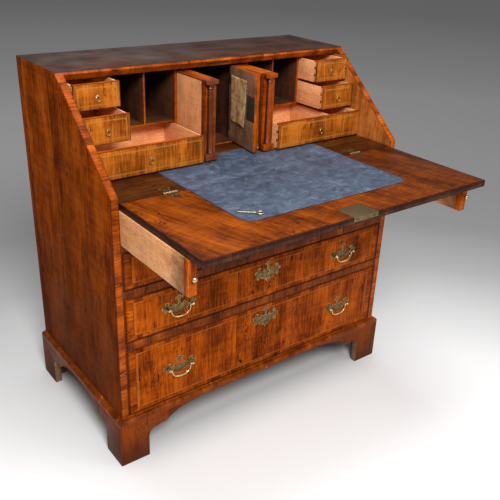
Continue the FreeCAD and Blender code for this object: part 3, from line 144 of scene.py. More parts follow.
class Surface(Tree):
    """A material that is built up in layers of colour over a piece's own coordinates."""

    def __init__(self, name):
        self.material = bpy.data.materials.new(name)
        self.material.use_nodes = True
        super().__init__(self.material.node_tree)
        self.shell = self.tree.nodes["Principled BSDF"]
        self.place = self.add("TexCoord", output="Object")
        self.axes = self.split(self.place)

    def vector(self, operation, *values):
        return self.add("VectorMath", dict(enumerate(values)), operation=operation)

    def mix(self, factor, low, high, kind="RGBA"):
        """Two numbers, places or colours mixed: the node has inputs and an output for each kind."""
        first = {"FLOAT": 2, "VECTOR": 4, "RGBA": 6}[kind]
        inputs = {0: factor, first: low, first + 1: high}
        return self.add("Mix", inputs, first // 2 - 1, data_type=kind)

    def noise(self, vector, detail=3.0, roughness=0.55, distortion=0.0):
        inputs = {"Vector": vector, "Scale": 1.0, "Detail": detail}
        return self.add("TexNoise", {**inputs, "Roughness": roughness, "Distortion": distortion})

    def stretched(self, coords, along, across, *character):
        """Noise over coordinates whose first axis has its own frequency, both in cycles a metre."""
        return self.noise(self.vector("MULTIPLY", coords, (along, across, across)), *character)

    def cloud(self, frequency, *character):
        """Noise over the piece's own place, with the same frequency all ways."""
        return self.stretched(self.place, frequency, frequency, *character)

    def chance(self, number):
        """A random number from 0 to 1 for each whole number that comes in."""
        return self.add("TexWhiteNoise", {"W": number}, noise_dimensions="1D")

    def shuffled(self, coords, number):
        """The coordinates moved to another part of the wood, by chance, for each whole number."""
        first, second = self.chance(number), self.chance(number + 37.0)
        return self.vector("ADD", coords, self.point(first * 5.0, second * 3.0, first)), first

    def along(self, grain, aside=None):
        """The place in the piece, the grain's axis first and then the one aside if it is given."""
        rest = [axis for axis in range(3) if axis != grain]
        if aside == rest[1]:
            rest.reverse()
        return self.point(*(self.axes[axis] for axis in (grain, *rest)))

    def grain(self, coords, tones, wave=0.01, veins=0.7, lines=0.6, width=1.0):
        """Wood's colour and height for coordinates in metres whose first axis runs along the grain."""
        sway = (self.stretched(coords, 3.3, 7.5, 2.0) - 0.5) * (wave * 2)
        bent = self.vector("ADD", coords, self.point(0.0, sway, sway))
        broad = self.stretched(bent, 2.0, 20.0 * width, 3.0, 0.5, 0.3)
        streak = self.stretched(bent, 9.0, 190.0 * width, 4.0, 0.65, 0.4)
        cloud = self.stretched(coords, 9.0, 15.0, 3.0)
        fibre = self.stretched(bent, 34.0, 620.0, 3.0, 0.65)
        curl = self.stretched(coords, 85.0, 16.0, 2.0, 0.5, 0.4)
        tone = broad * 0.46 + 0.285
        for part, share in ((streak, 0.46), (cloud, 0.48), (fibre, 0.46), (curl, 0.22)):
            tone = (part - 0.5) * share + tone
        self.colour = tone.ramp(list(zip((0.2, 0.4, 0.56, 0.8), tones)))
        self.cover(self.stretched(bent, 60.0, 430.0, 2.0).smooth(0.6, 0.68, 0.0, 0.45), tones[1])
        if lines:
            dark = tuple((vein + deep) / 2 for vein, deep in zip(tones[0], tones[1]))
            for thread, gather in ((110.0, broad), (260.0, cloud)):
                thin = abs(self.stretched(bent, 2.4, thread * width, 2.0, 0.5, 0.5) - 0.5)
                gathered = gather.smooth(0.42, 0.58, 0.85, 0.15)
                self.cover(thin.smooth(0.004, 0.03, lines, 0.0) * gathered, dark)
        if veins:
            edge = abs(self.stretched(bent, 5.0, 22.0, 3.0, 0.55, 2.0) - 0.53)
            patch = self.stretched(coords, 5.0, 8.0, 1.0).smooth(0.47, 0.53)
            self.cover(edge.smooth(0.003, 0.011, veins, 0.0) * patch, tones[0])
        pores = self.stretched(bent, 95.0, 1900.0, 1.0).smooth(0.6, 0.7)
        self.cover(pores * 0.4, tones[0])
        self.height = fibre - pores

    def cover(self, share, colour):
        """Lays a colour over the colour so far."""
        self.colour = self.mix(share, self.colour, colour)

    def shade(self, chance, spread):
        """Makes the colour a little darker or lighter by a random number."""
        level = chance * (2.0 * spread) + (1.0 - spread)
        self.colour = self.vector("MULTIPLY", self.colour, self.point(level, level, level))

    def joint(self, nearest, width=0.0003, strength=0.8):
        """A dark line where two pieces of veneer meet."""
        self.cover(nearest.smooth(width, width * 2.5, strength, 0.0), (0.012, 0.004, 0.002))

    def dirt_and_shade(self, distance, reach=0.0035, strength=0.75):
        """Old dirt and wax with painted shade, dark where the distance to an edge is small."""
        self.cover(distance.smooth(reach * 0.15, reach, strength, 0.0), (0.014, 0.005, 0.003))

    def bump(self, height, distance, strength):
        inputs = {"Height": height, "Distance": distance, "Strength": strength}
        self.feed(self.shell, {"Normal": self.add("Bump", inputs)})

    def finish(self, roughness, specular, metallic=0.0):
        looks = {"Roughness": roughness, "Specular IOR Level": specular, "Metallic": metallic}
        self.feed(self.shell, {"Base Color": self.colour, **looks})
        return self.material

    def polished(self, roughness=0.38, specular=0.07):
        """Old wax polish over wood: the sheen varies, and the grain shows through it."""
        self.bump(self.height, 0.0001, 0.6)
        smear = self.cloud(9.0, 4.0)
        return self.finish(smear.smooth(0.3, 0.7, roughness - 0.07, roughness + 0.14), specular)


# Wood tones from the darkest vein to the lightest streak, as linear red, green and blue.
WALNUT = ((0.016, 0.004, 0.001), (0.15, 0.024, 0.001), (0.38, 0.068, 0.002), (0.64, 0.145, 0.005))
DARK_WALNUT = ((0.01, 0.004, 0.003), (0.042, 0.014, 0.007), (0.09, 0.031, 0.012), (0.16, 0.062, 0.022))
# A dark tone laid over low parts: painted shade towards the bottom of the sides, and darker feet towards
# the floor.
DARKER_BELOW_WALNUT = (0.06, 0.012, 0.002)


def inside(place, low, high):
    """How far a place lies inside two limits."""
    return (high - low) / 2 - abs(place - (low + high) / 2)


def piece_number(along, length, offset=0.0):
    """Which piece of a row a place lies in, and how far it is from the nearest joint, in metres."""
    place = (along + offset) / length
    return math.floor(place), inside(place % 1.0, 0.0, 1.0) * length


def side_veneer():
    wood = Surface("side veneer")
    x, y, z = wood.axes
    number, nearest = piece_number(y, 0.172, 0.118)
    coords, chance = wood.shuffled(wood.along(2, 1), number)
    wood.grain(coords, WALNUT, 0.016, 0.85, 0.75)
    wood.shade(chance, 0.14)
    wander = wood.stretched(wood.place, 1.0, 4.0, 2.0).smooth(0.42, 0.58, 0.15, 0.95)
    wood.cover(nearest.smooth(0.0003, 0.0012, 1.0, 0.0) * wander, (0.01, 0.005, 0.003))
    # Painted shade: the side darkens towards the bottom.
    wood.cover(z.smooth(0.1, 0.85, 0.75, 0.1), DARKER_BELOW_WALNUT)
    return wood.polished(0.5, 0.012)


def pieces(name, across, along, tones, length, offset=0.013, spread=0.1, width=1.3, line=0.0003):
    """Short pieces of veneer in a row: their grain runs across the row, and each has its own tone."""
    wood = Surface(name)
    number, nearest = piece_number(wood.axes[along], length, offset)
    coords, chance = wood.shuffled(wood.along(across, along), number)
    wood.grain(coords, tones, 0.004, 0.8, 0.7, width)
    wood.shade(chance, spread)
    wood.joint(nearest, line)
    return wood


def cross_band(name, across, along, length=0.062, tones=WALNUT, limits=(), reach=0.0035):
    """A row of such pieces, with dirt and painted shade along its limits on both sides of the object."""
    wood = pieces(name, across, along, tones, length)
    place = abs(wood.axes[across])
    for limit in limits:
        wood.dirt_and_shade(abs(place - limit), reach)
    return wood.polished()


def plain_wood(name, along, tones, roughness=0.4, veins=0.5, width=1.0):
    """Wood with its grain along one axis (0, 1 or 2) of the object."""
    wood = Surface(name)
    wood.grain(wood.along(along), tones, 0.01, veins, 0.5, width)
    return wood.polished(roughness)


def solids_of(node):
    """A CAD node's solids as lists of its faces' corners: a solid is whole when its edges all pair up."""
    mesh = frame["nodes"][node].data
    spots = [tuple(round(part, 6) for part in vertex.co) for vertex in mesh.vertices]
    solid, open_edges = [], set()
    for face in mesh.polygons:
        corners = [spots[index] for index in face.vertices]
        solid.append(corners)
        for start, end in zip(corners, corners[1:] + corners[:1]):
            open_edges ^= {frozenset((start, end))}
        if not open_edges:
            yield solid
            solid = []
    if solid:
        yield solid


def soften(solid, width, along):
    """One solid as a bmesh whose sharp edges (or only those along one axis) are rounded over."""
    work = bmesh.new()
    made = {}
    for corners in solid:
        for spot in corners:
            if spot not in made:
                made[spot] = work.verts.new(spot)
        verts = [made[spot] for spot in corners]
        if len(set(verts)) == len(verts) and not work.faces.get(verts):
            work.faces.new(verts)
    bmesh.ops.dissolve_limit(work, angle_limit=0.01, verts=work.verts, edges=work.edges)
    sharp = [edge for edge in work.edges if edge.is_manifold and edge.calc_face_angle() > 0.6]
    for face in work.faces:
        face.smooth = True
    if along is not None:
        ways = {edge: (edge.verts[0].co - edge.verts[1].co).normalized() for edge in sharp}
        sharp = [edge for edge in sharp if abs(ways[edge][along]) > 0.9]
    if width and sharp:
        segments = 2 if width < 0.002 else 5
        shape = {"segments": segments, "profile": 0.6, "affect": "EDGES", "clamp_overlap": False}
        bmesh.ops.bevel(work, geom=sharp, offset=width, **shape)
    return work


def as_mesh(name, work, materials=()):
    """The bmesh as a mesh of its own, with its materials."""
    mesh = bpy.data.meshes.new(name)
    work.to_mesh(mesh)
    work.free()
    for material in materials:
        mesh.materials.append(material)
    return mesh


def linked(name, data):
    """A new object in the scene."""
    piece = bpy.data.objects.new(name, data)
    bpy.context.scene.collection.objects.link(piece)
    return piece


def settle(piece, node, instead=False):
    """The piece moves with a CAD node, and stands there instead of it or beside it."""
    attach(piece, frame["nodes"][node]["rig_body"])
    if instead:
        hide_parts(node)


def dressed(node, choose, width=0.0008, along=None):
    """A worn copy of a CAD node that stands in its place: choose is its material, or gives the
    material of each face from the box of its solid (low, high), its centre and its normal."""
    whole = bmesh.new()
    materials = []
    for solid in solids_of(node):
        spots = [spot for corners in solid for spot in corners]
        low, high = (Vector([end(places) for places in zip(*spots)]) for end in (min, max))
        part = soften(solid, width if min(high - low) > 3.0 * width else 0.0, along)
        part.normal_update()
        for face in part.faces:
            material = choose
            if callable(choose):
                material = choose(low, high, face.calc_center_median(), face.normal)
            if material not in materials:
                materials.append(material)
            face.material_index = materials.index(material)
        passing = as_mesh("passing", part)
        whole.from_mesh(passing)
        bpy.data.meshes.remove(passing)
    mesh = as_mesh(node + "_dressed", whole, materials)
    mesh.set_sharp_from_angle(angle=math.radians(40))
    settle(linked(node + "_dressed", mesh), node, instead=True)


side_low, side_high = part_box("right_side")
side_edge = cross_band("side edge banding", 0, 2, limits=(side_low.x, side_high.x))
side_face = side_veneer()
LINING_WALNUT = ((0.026, 0.009, 0.003), (0.22, 0.058, 0.01), (0.43, 0.125, 0.022), (0.6, 0.22, 0.05))
side_inner = plain_wood("side lining", 2, LINING_WALNUT)


def side_skin(low, high, centre, normal):
    if normal.y < -0.3:
        return side_edge
    return side_face if normal.x * centre.x > 0.3 * abs(centre.x) else side_inner


for side in ("left_side", "right_side"):
    dressed(side, side_skin, 0.002)

# The top is one board under dark, faded veneer, banded round its edges. A strip of cross-banding
# covers its front edge, over the step that the fall shuts against. Under the step sits the
# strike plate of the fall's lock.
FADED_WALNUT = ((0.006, 0.002, 0.001), (0.026, 0.008, 0.004), (0.06, 0.019, 0.009), (0.12, 0.042, 0.019))


def banded_sheet(
    name, box, up, tones, band, panel, line=0.0, turn=0.0, painted_shadow=0.0, lines=0.9, sheen=0.07, upright=True
):
    """A veneered face that runs to the right and along the axis up: a cross-banded border, a
    feather line if it has a width, and a field of matched sheets as wide as the panel. Their
    grain has a turn in radians, and a painted shadow darkens the right end."""
    wood = Surface(name)
    a, b, c = (wood.axes[axis] for axis in (0, up, 3 - up))
    low, high = box
    share_a = inside(a, low.x, high.x) / band[0]
    share_b = inside(b, low[up], high[up]) / band[1]
    share = share_a.least(share_b)
    beside = share_a < share_b
    in_band = share < 1.0
    end_number, end_gap = piece_number(b, 0.058)
    row_number, row_gap = piece_number(a, 0.066)
    band_coords = wood.mix(beside, wood.point(b, a, c), wood.point(a, b, c), "VECTOR")
    band_number = wood.mix(beside, row_number, end_number + 91.0, "FLOAT")
    band_gap = wood.mix(beside, row_gap, end_gap, "FLOAT")
    sheet_number, sheet_gap = piece_number(a, panel, panel / 2)
    along, aside = (b, a) if upright else (a, b)
    cos, sin = math.cos(turn), math.sin(turn)
    field_coords = wood.point(along * cos + aside * sin, along * -sin + aside * cos, c)
    coords = wood.mix(in_band, field_coords, band_coords, "VECTOR")
    number = wood.mix(in_band, sheet_number + 400.0, band_number, "FLOAT")
    coords, chance = wood.shuffled(coords, number)
    wood.grain(coords, tones, 0.012, 0.95, lines)
    wood.shade(chance, 0.09)
    wood.joint(wood.mix(in_band, sheet_gap, band_gap, "FLOAT"), 0.00025, 0.6)
    wood.joint(abs(share - 1.0) * min(band))
    if line:
        in_line = abs(share - (1.0 + line / 2)) < line / 2
        feather = ((a + b) * 330.0 % 1.0).ramp(((0.2, tones[2]), (0.7, (0.75, 0.27, 0.04))))
        wood.cover(in_line * 0.25, feather)
    # Dirt and painted shade: the sheet darkens towards its edges.
    wood.dirt_and_shade(share * min(band), 0.005, 0.85)
    # Painted shadow: the colour darkens towards the right end.
    if painted_shadow:
        wood.cover(a.smooth(-0.1, high.x, 0.0, painted_shadow), tones[0])
    return wood.polished(specular=sheen)


top_low, top_high = top_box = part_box("top_board")
top_face = banded_sheet("top veneer", top_box, 1, FADED_WALNUT, (0.034, 0.034), 0.47, upright=False)
top_edge = cross_band("top edge banding", 2, 0, 0.085, limits=(top_low.z, top_high.z))
top_under = plain_wood("top underside", 0, DARK_WALNUT)


def top_skin(low, high, centre, normal):
    if normal.z > 0.8:
        return top_face
    if normal.y < -0.3 or (normal.z < -0.3 and centre.z > top_low.z + 0.0005):
        return top_edge
    return side_face if abs(normal.x) > 0.6 and abs(centre.x) > 0.46 else top_under


dressed("top_board", top_skin, 0.0014)

# The bottom, back, runners and dust boards are unpolished oak, dry and grey-brown with age. The
# back is five upright boards with open joints. Only the rails' front edges are walnut, banded
# like the sides.
OLD_OAK = ((0.06, 0.036, 0.02), (0.15, 0.09, 0.048), (0.24, 0.15, 0.084), (0.34, 0.225, 0.135))


def dry_boards(name, along, width=None):
    """Bare boards, sawn and aged, each of its own tone when a board's width is given."""
    wood = Surface(name)
    coords = wood.along(along)
    if width:
        number, nearest = piece_number(wood.axes[0], width, width / 2)
        coords, chance = wood.shuffled(coords, number)
    wood.grain(coords, OLD_OAK, 0.014, 0.4, 0.4)
    if width:
        wood.shade(chance, 0.2)
        wood.joint(nearest, 0.0006)
    wood.cover(wood.cloud(4.0, 4.0).smooth(0.52, 0.75, 0.0, 0.45), OLD_OAK[0])
    wood.bump(wood.height, 0.0003, 0.8)
    return wood.finish(0.78, 0.2)


back_low, back_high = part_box("back_boards")
board_width = (back_high.x - back_low.x) / 5
back_oak = dry_boards("back boards oak", 2, board_width)
across_oak = dry_boards("bare oak", 0)
deep_oak = dry_boards("runner oak", 1)

# The rails' banding is dark beside the drawers' top and bottom edges: dirt with painted shadow
# from the gaps round the drawers.
RAIL_WALNUT = ((0.01, 0.003, 0.001), (0.09, 0.016, 0.001), (0.22, 0.044, 0.003), (0.4, 0.1, 0.007))
DRAWERS = ("bottom", "third", "second", "top")
drawer_levels = [corner.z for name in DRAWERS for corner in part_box(name + "_drawer")]
rail_band = cross_band("rail banding", 2, 0, 0.074, RAIL_WALNUT, drawer_levels, 0.0055)
upright_band = cross_band("divider banding", 0, 2, tones=RAIL_WALNUT)
front_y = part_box("left_side")[0].y


class Rule(Tree):
    """A Geometry Nodes tree that puts something on each point, by named sizes."""

    def __init__(self, name, *titles):
        super().__init__(bpy.data.node_groups.new(name, "GeometryNodeTree"))
        socket = self.tree.interface.new_socket
        for way in ("INPUT", "OUTPUT"):
            socket("Geometry", in_out=way, socket_type="NodeSocketGeometry")
        number = {"in_out": "INPUT", "socket_type": "NodeSocketFloat"}
        self.keys = {title: socket(title, **number).identifier for title in titles}
        start = self.tree.nodes.new("NodeGroupInput")
        self.points, *self.sizes = (Value(self, start.outputs[title]) for title in ("Geometry", *titles))

    def part(self, kind, **inputs):
        """What a new geometry node makes from its named inputs."""
        return self.add(kind, inputs, family="GeometryNode")

    def chance(self, seed):
        """A random number from 0 to 1 for each point."""
        return self.add("RandomValue", {"Seed": seed}, 1, "FunctionNode")

    def joined(self, parts):
        node = self.tree.nodes.new("GeometryNodeJoinGeometry")
        for part in reversed(parts):
            self.feed(node, {0: part})
        return Value(self, node.outputs[0])

    def close(self, shape, material, spin=None, **placing):
        """Puts the shape on each point, spun about its own axis, and gives it its material."""
        whole = self.part("InstanceOnPoints", Points=self.points, Instance=shape, **placing)
        if spin:
            turn = self.point(0.0, 0.0, spin)
            whole = self.part("RotateInstances", Instances=whole, Rotation=turn)
        whole = self.part("RealizeInstances", Geometry=whole)
        whole = self.part("SetMaterial", Geometry=whole, Material=material)
        self.feed(self.tree.nodes.new("NodeGroupOutput"), {"Geometry": whole})
        return self


def grown(name, spots, rule, sizes):
    """The piece that a rule makes on the given points."""
    mesh = bpy.data.meshes.new(name)
    mesh.from_pydata(spots, [], [])
    piece = linked(name, mesh)
    modifier = piece.modifiers.new("rule", "NODES")
    modifier.node_group = rule.tree
    for title, value in sizes.items():
        modifier[rule.keys[title]] = value
    piece.update_tag()
    evaluated = piece.evaluated_get(bpy.context.evaluated_depsgraph_get())
    made = bpy.data.meshes.new_from_object(evaluated)
    piece.modifiers.clear()
    piece.data = made
    return piece


def old_brass(name, clean, tarnish, rough):
    brass = Surface(name)
    cloud = brass.cloud(75.0, 5.0, 0.6)
    pits = brass.cloud(700.0, 2.0)
    brass.colour = tuple(part * share for part, share in zip(clean, (0.62, 0.57, 0.5)))
    brass.cover(cloud.smooth(0.36, 0.64), clean)
    brass.cover(pits.smooth(0.6, 0.74, 0.0, tarnish), (0.05, 0.032, 0.014))
    brass.bump(pits * 0.4 + cloud, 0.00006, 0.5)
    return brass.finish(cloud.smooth(0.3, 0.7, rough + 0.2, rough), 0.5, metallic=1.0)


def fronted(front, other):
    """One material for faces that look forward at the carcase's front, another for the rest."""
    limit = front_y + 0.006
    return lambda low, high, centre, normal: front if normal.y < -0.1 and centre.y < limit else other


dressed("back_boards", back_oak)


def nail_growth():
    """A hand-forged nail head on each point: a low four-sided pyramid, no two of them the same."""
    rule = Rule("forged nails", "Radius", "Proud", "Seed")
    radius, proud, seed = rule.sizes
    shape = {"Vertices": 5, "Radius Top": radius * 0.35, "Radius Bottom": radius, "Depth": proud * 0.8}
    head = rule.part("MeshCone", **shape)
    turn = rule.chance(seed)
    size = turn * 0.5 + 0.75
    facing = rule.point(-math.pi / 2, 0.0, 0.0)
    return rule.close(head, nail_iron, turn * 6.0, Rotation=facing, Scale=rule.point(size, size, 1.0))


nail_iron = old_brass("nail iron", (0.1, 0.075, 0.055), 0.8, 0.55)
nail_rows = (back_low.z + 0.012, (back_low.z + back_high.z) / 2, back_high.z - 0.012)
nail_spots = [
    (back_low.x + board_width * (board + share), back_high.y, level)
    for board in range(5)
    for share in (0.16, 0.84)
    for level in nail_rows
]
nails = grown("back_nails", nail_spots, nail_growth(), {"Radius": 0.0042, "Proud": 0.0012, "Seed": 5})
settle(nails, "back_boards")
dressed("bottom_board", fronted(rail_band, across_oak), 0.004, 0)
dressed("drawer_rails", fronted(rail_band, across_oak), 0.004, 0)
dressed("drawer_runners", deep_oak)
dressed("dust_boards", across_oak)
dressed("loper_dividers", fronted(upright_band, deep_oak), 0.003, 2)

# The base moulding is a cross-grained ovolo, made of short pieces of walnut set upright along
# it. The bracket feet under it are veneered oak, with rough glue blocks in their corners. Both
# are darker towards the floor.


def moulding_pieces(name, along):
    wood = pieces(name, 2, along, RAIL_WALNUT, 0.068, 0.02, 0.16, 1.4, 0.0004)
    wood.cover(wood.axes[2].smooth(0.128, 0.14, 0.8, 0.1), WALNUT[1])
    wood.cover(wood.cloud(40.0).smooth(0.6, 0.72, 0.0, 0.55), WALNUT[3])
    return wood.polished()


def foot_veneer(name, across):
    wood = Surface(name)
    wood.grain(wood.along(2, across), WALNUT, 0.012, 0.8, 0.7)
    reach = wood.cloud(30.0, 4.0) * 0.06 + wood.axes[2]
    wood.cover(reach.smooth(0.03, 0.15, 0.92, 0.6), DARKER_BELOW_WALNUT)
    return wood.polished(0.42, 0.06)


front_moulding = moulding_pieces("base moulding front", 0)
side_moulding = moulding_pieces("base moulding side", 1)
moulding_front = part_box("base_moulding")[0].y
case_half = side_high.x
foot_front = foot_veneer("foot veneer front", 0)
foot_side = foot_veneer("foot veneer side", 1)


def moulding_skin(low, high, centre, normal):
    return front_moulding if high.x - low.x > high.y - low.y else side_moulding


def foot_skin(low, high, centre, normal):
    if normal.y < -0.6 and centre.y < moulding_front + 0.001:
        return foot_front
    return foot_side if abs(normal.x) > 0.6 and abs(centre.x) > case_half else deep_oak


dressed("base_moulding", moulding_skin, 0.0007)
for node in ("front_left_foot", "front_right_foot", "rear_left_foot", "rear_right_foot"):
    dressed(node, foot_skin, 0.0012)
dressed("foot_blocks", across_oak)

# The writing bed is the fixed part of the desk's surface, darker than the fall. A sheet of
# blue-grey hide is let into both, and meets itself at the hinge line. The hide is blotched and
# brushed, with a darker rim where the polish has crept over it.


def blue_hide():
    hide = Surface("blue hide")
    x, y, z = hide.axes
    stroke = hide.stretched(hide.point(x, y, 0.0), 7.0, 13.0, 5.0, 0.62, 1.6)
    blot = hide.cloud(45.0, 5.0, 0.68, 0.8)
    stops = (
        (0.36, (0.03, 0.04, 0.06)),
        (0.45, (0.046, 0.061, 0.094)),
        (0.54, (0.063, 0.082, 0.121)),
        (0.66, (0.112, 0.138, 0.188)),
    )
    hide.colour = (stroke * 0.5 + blot * 0.5).ramp(stops)
    aside = x + 0.06
    reach = aside.reach(y)
    wheel = hide.vector("MULTIPLY", hide.point(y.angle(aside), reach, 0.0), (0.9, 38.0, 1.0))
    scuff = hide.noise(wheel, 4.0, 0.6, 0.7) - reach.smooth(0.06, 0.17, 0.0, 0.22)
    hide.cover(scuff.smooth(0.46, 0.53, 0.0, 0.7), (0.028, 0.037, 0.055))
    sweep = hide.point(x, stroke * 0.1 + y, z)
    for turned, frequency, strength in ((sweep, 60.0, 0.34), (hide.point(y, x, z), 90.0, 0.2)):
        scratch = abs(hide.stretched(turned, 7.0, frequency, 2.0) - 0.5)
        rub = scratch.smooth(0.002, 0.012, strength, 0.0) * blot.smooth(0.44, 0.56)
        hide.cover(rub, (0.24, 0.28, 0.36))
    low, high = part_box("fall_leather")
    hide.cover(inside(x, low.x, high.x).smooth(0.001, 0.01, 0.55, 0.0), (0.02, 0.05, 0.12))
    pebble = hide.add("TexVoronoi", {"Scale": 900.0, "Vector": hide.place})
    hide.bump(stroke * 1.6 + pebble, 0.00018, 0.7)
    return hide.finish(blot.smooth(0.3, 0.7, 0.48, 0.66), 0.2)


BED_WALNUT = ((0.007, 0.002, 0.001), (0.03, 0.008, 0.002), (0.066, 0.017, 0.003), (0.13, 0.038, 0.006))
bed_face = plain_wood("bed veneer", 0, BED_WALNUT, 0.34, 0.8)
leather = blue_hide()


def bed_skin(low, high, centre, normal):
    return across_oak if normal.z < -0.6 else bed_face


dressed("writing_bed", bed_skin, 0.0006)
dressed("bed_leather", leather, 0.0003)

# Behind the bed stands the fitted interior: thin walnut uprights and shelves, dark inside and
# lighter on their front edges, with a plain back board. Painted shade darkens the pigeonholes
# towards the back.
fit_low, fit_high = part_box("fittings_uprights")


def back_shaded_walnut(name, along):
    """Dark interior walnut with painted shade that gets darker towards the back."""
    wood = Surface(name)
    wood.grain(wood.along(along), DARK_WALNUT, 0.01, 0.6, 0.6)
    # Painted shade: darker towards the back of the pigeonholes.
    wood.cover(wood.axes[1].smooth(fit_low.y, fit_low.y + 0.16, 0.0, 0.55), DARK_WALNUT[0])
    return wood.polished(0.55, 0.2)


upright_wood = back_shaded_walnut("upright walnut", 2)
shelf_wood = back_shaded_walnut("shelf walnut", 0)
front_edge = plain_wood("front edge walnut", 2, WALNUT, 0.4, 0.4, 2.0)
shelf_edge = plain_wood("shelf edge walnut", 0, WALNUT, 0.4, 0.4, 2.0)
lining_wood = plain_wood("lining walnut", 2, LINING_WALNUT, 0.4)


def upright_skin(low, high, centre, normal):
    if normal.y < -0.6:
        return front_edge
    return lining_wood if max(abs(low.x), abs(high.x)) > fit_high.x - 0.001 else upright_wood


def shelf_skin(low, high, centre, normal):
    return shelf_edge if normal.y < -0.6 and low.y < fit_low.y + 0.001 else shelf_wood


dressed("fittings_uprights", upright_skin, 0.0004)
dressed("fittings_shelves", shelf_skin, 0.0004)
dressed("fittings_case", shelf_skin, 0.0004)

# Brass holds the desk together: butterfly hinges let into the bed and the fall, a box lock with
# its edge plate, and a strike in the top. The metal is old and softly rubbed, with brown in its
# hollows.


def screw_growth(name, metal):
    """A slotted screw head on each point, each turned its own way about its axis."""
    rule = Rule(name, "Radius", "Proud", "Slot", "Seed")
    radius, proud, slot, seed = rule.sizes
    parts = []
    for way in (-0.5, 0.5):
        half = rule.part("MeshCylinder", Vertices=28, Radius=radius, Depth=proud)
        x, y, z = rule.split(rule.part("InputPosition"))
        flat = rule.point(x, y.most(slot * way) if way > 0 else y.least(slot * way), z)
        parts.append(rule.part("SetPosition", Geometry=half, Position=flat))
    parts.append(rule.part("MeshCylinder", Vertices=28, Radius=radius, Depth=proud * 0.6))
    return rule.close(rule.joined(parts), metal, rule.chance(seed) * math.pi)


flat_brass = old_brass("flat brass", (0.3, 0.225, 0.115), 0.6, 0.36)
screw_brass = old_brass("screw brass", (0.46, 0.35, 0.18), 0.7, 0.3)
screw_rule = screw_growth("slotted screws", screw_brass)
hinge_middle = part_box("bed_hinge_leaves")[1].x - 0.02
hinge_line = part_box("fall_hinge_leaves")[1].y - 0.003
desk_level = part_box("fall_board")[1].z
leaf_screws = ((-0.0125, 0.0305), (0.0125, 0.0305), (-0.0062, 0.018), (0.0062, 0.018))
dark_brass = old_brass("hinge leaf brass", (0.17, 0.12, 0.055), 0.7, 0.36)


def hinge_skin(low, high, centre, normal):
    return dark_brass if normal.z > 0.99 and abs(centre.y - hinge_line) > 0.004 else screw_brass


def screwed(name, spots, node, seed):
    """Screw heads on the spots of a plate, level with the desk."""
    sizes = {"Radius": 0.0031, "Proud": 0.0009, "Slot": 0.0008, "Seed": seed}
    screws = grown(name, [(x, y, desk_level) for x, y in spots], screw_rule, sizes)
    settle(screws, node)


dressed("bed_hinge_leaves", hinge_skin, 0.0002)
dressed("lock_strike", flat_brass, 0.0002)
dressed("fall_hinge_leaves", hinge_skin, 0.0002)
for board, way in (("bed", 1), ("fall", -1)):
    leaf_spots = [
        (side * hinge_middle + across, hinge_line + way * along)
        for side in (-1, 1)
        for across, along in leaf_screws
    ]
    screwed(board + "_hinge_screws", leaf_spots, board + "_hinge_leaves", 3)

# The fall is the desk's lid, lying open here. Its inner face is the richest veneer of all, its
# grain running front to back at a slant, inside a narrow band. Its edges are cross-grained, and
# its outer face, now underneath, matches the drawers.
GOLDEN_WALNUT = ((0.01, 0.003, 0.001), (0.08, 0.014, 0.001), (0.235, 0.043, 0.002), (0.45, 0.1, 0.004))
EDGE_WALNUT = ((0.008, 0.003, 0.002), (0.03, 0.009, 0.005), (0.062, 0.02, 0.01), (0.12, 0.044, 0.022))
fall_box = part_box("fall_board")
slant = math.radians(-17)
# The fall's inner face carries a painted shadow that darkens its right end.
fall_face = banded_sheet(
    "fall veneer", fall_box, 1, GOLDEN_WALNUT, (0.004, 0.004), 0.44, turn=slant, painted_shadow=0.45
)
fall_under = banded_sheet("fall outer veneer", fall_box, 1, WALNUT, (0.03, 0.03), 0.22, 0.4, lines=0.6)
fall_levels = (fall_box[0].z, desk_level - 0.005, desk_level)
fall_front_edge, fall_side_edge = (
    cross_band("fall " + name + " edge", 2, along, 0.09, EDGE_WALNUT, fall_levels)
    for along, name in enumerate(("front", "side"))
)


def fall_skin(low, high, centre, normal):
    if abs(normal.z) > 0.6:
        return fall_face if normal.z > 0 else fall_under
    return fall_front_edge if abs(normal.y) > 0.6 else fall_side_edge


dressed("fall_board", fall_skin, 0.0016)
dressed("fall_leather", leather, 0.0003)
dressed("fall_lock", flat_brass, 0.0003)
lock_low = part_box("fall_lock")[0]
lock_spots = [(side * 0.031, lock_low.y + along) for side in (-1, 1) for along in (0.01, 0.045)]
screwed("fall_lock_screws", lock_spots, "fall_hinge_leaves", 8)
key_metal = old_brass("key metal", (0.8, 0.66, 0.46), 0.3, 0.22)
dressed("key", key_metal, 0.0003)

# Two lopers slide out under the fall. They are oak, pinkish and dry where they are hidden in
# the carcase, with a walnut facing glued on in front and a small turned brass knob.
OAK = ((0.33, 0.125, 0.048), (0.69, 0.29, 0.115), (0.86, 0.39, 0.16), (0.93, 0.51, 0.235))


def pale_oak(name, along, handled=None):
    """Dry pinkish oak with short ray flecks, and dirt from hands at the end where it is handled."""
    wood = Surface(name)
    coords = wood.along(along)
    wood.grain(coords, OAK, 0.008, 0.0, 0.35)
    wood.cover(wood.stretched(coords, 170.0, 430.0, 2.0, 0.5, 0.5).smooth(0.56, 0.66, 0.0, 0.5), OAK[0])
    wood.cover(wood.cloud(12.0, 5.0).smooth(0.5, 0.78, 0.0, 0.55), OAK[0])
    if handled is not None:
        reach = wood.cloud(24.0, 5.0) * -0.12 + (wood.axes[1] - handled)
        wood.cover(reach.smooth(-0.065, 0.005, 0.8, 0.0), (0.085, 0.03, 0.012))
    wood.bump(wood.height, 0.0002, 0.7)
    return wood.finish(0.7, 0.2)


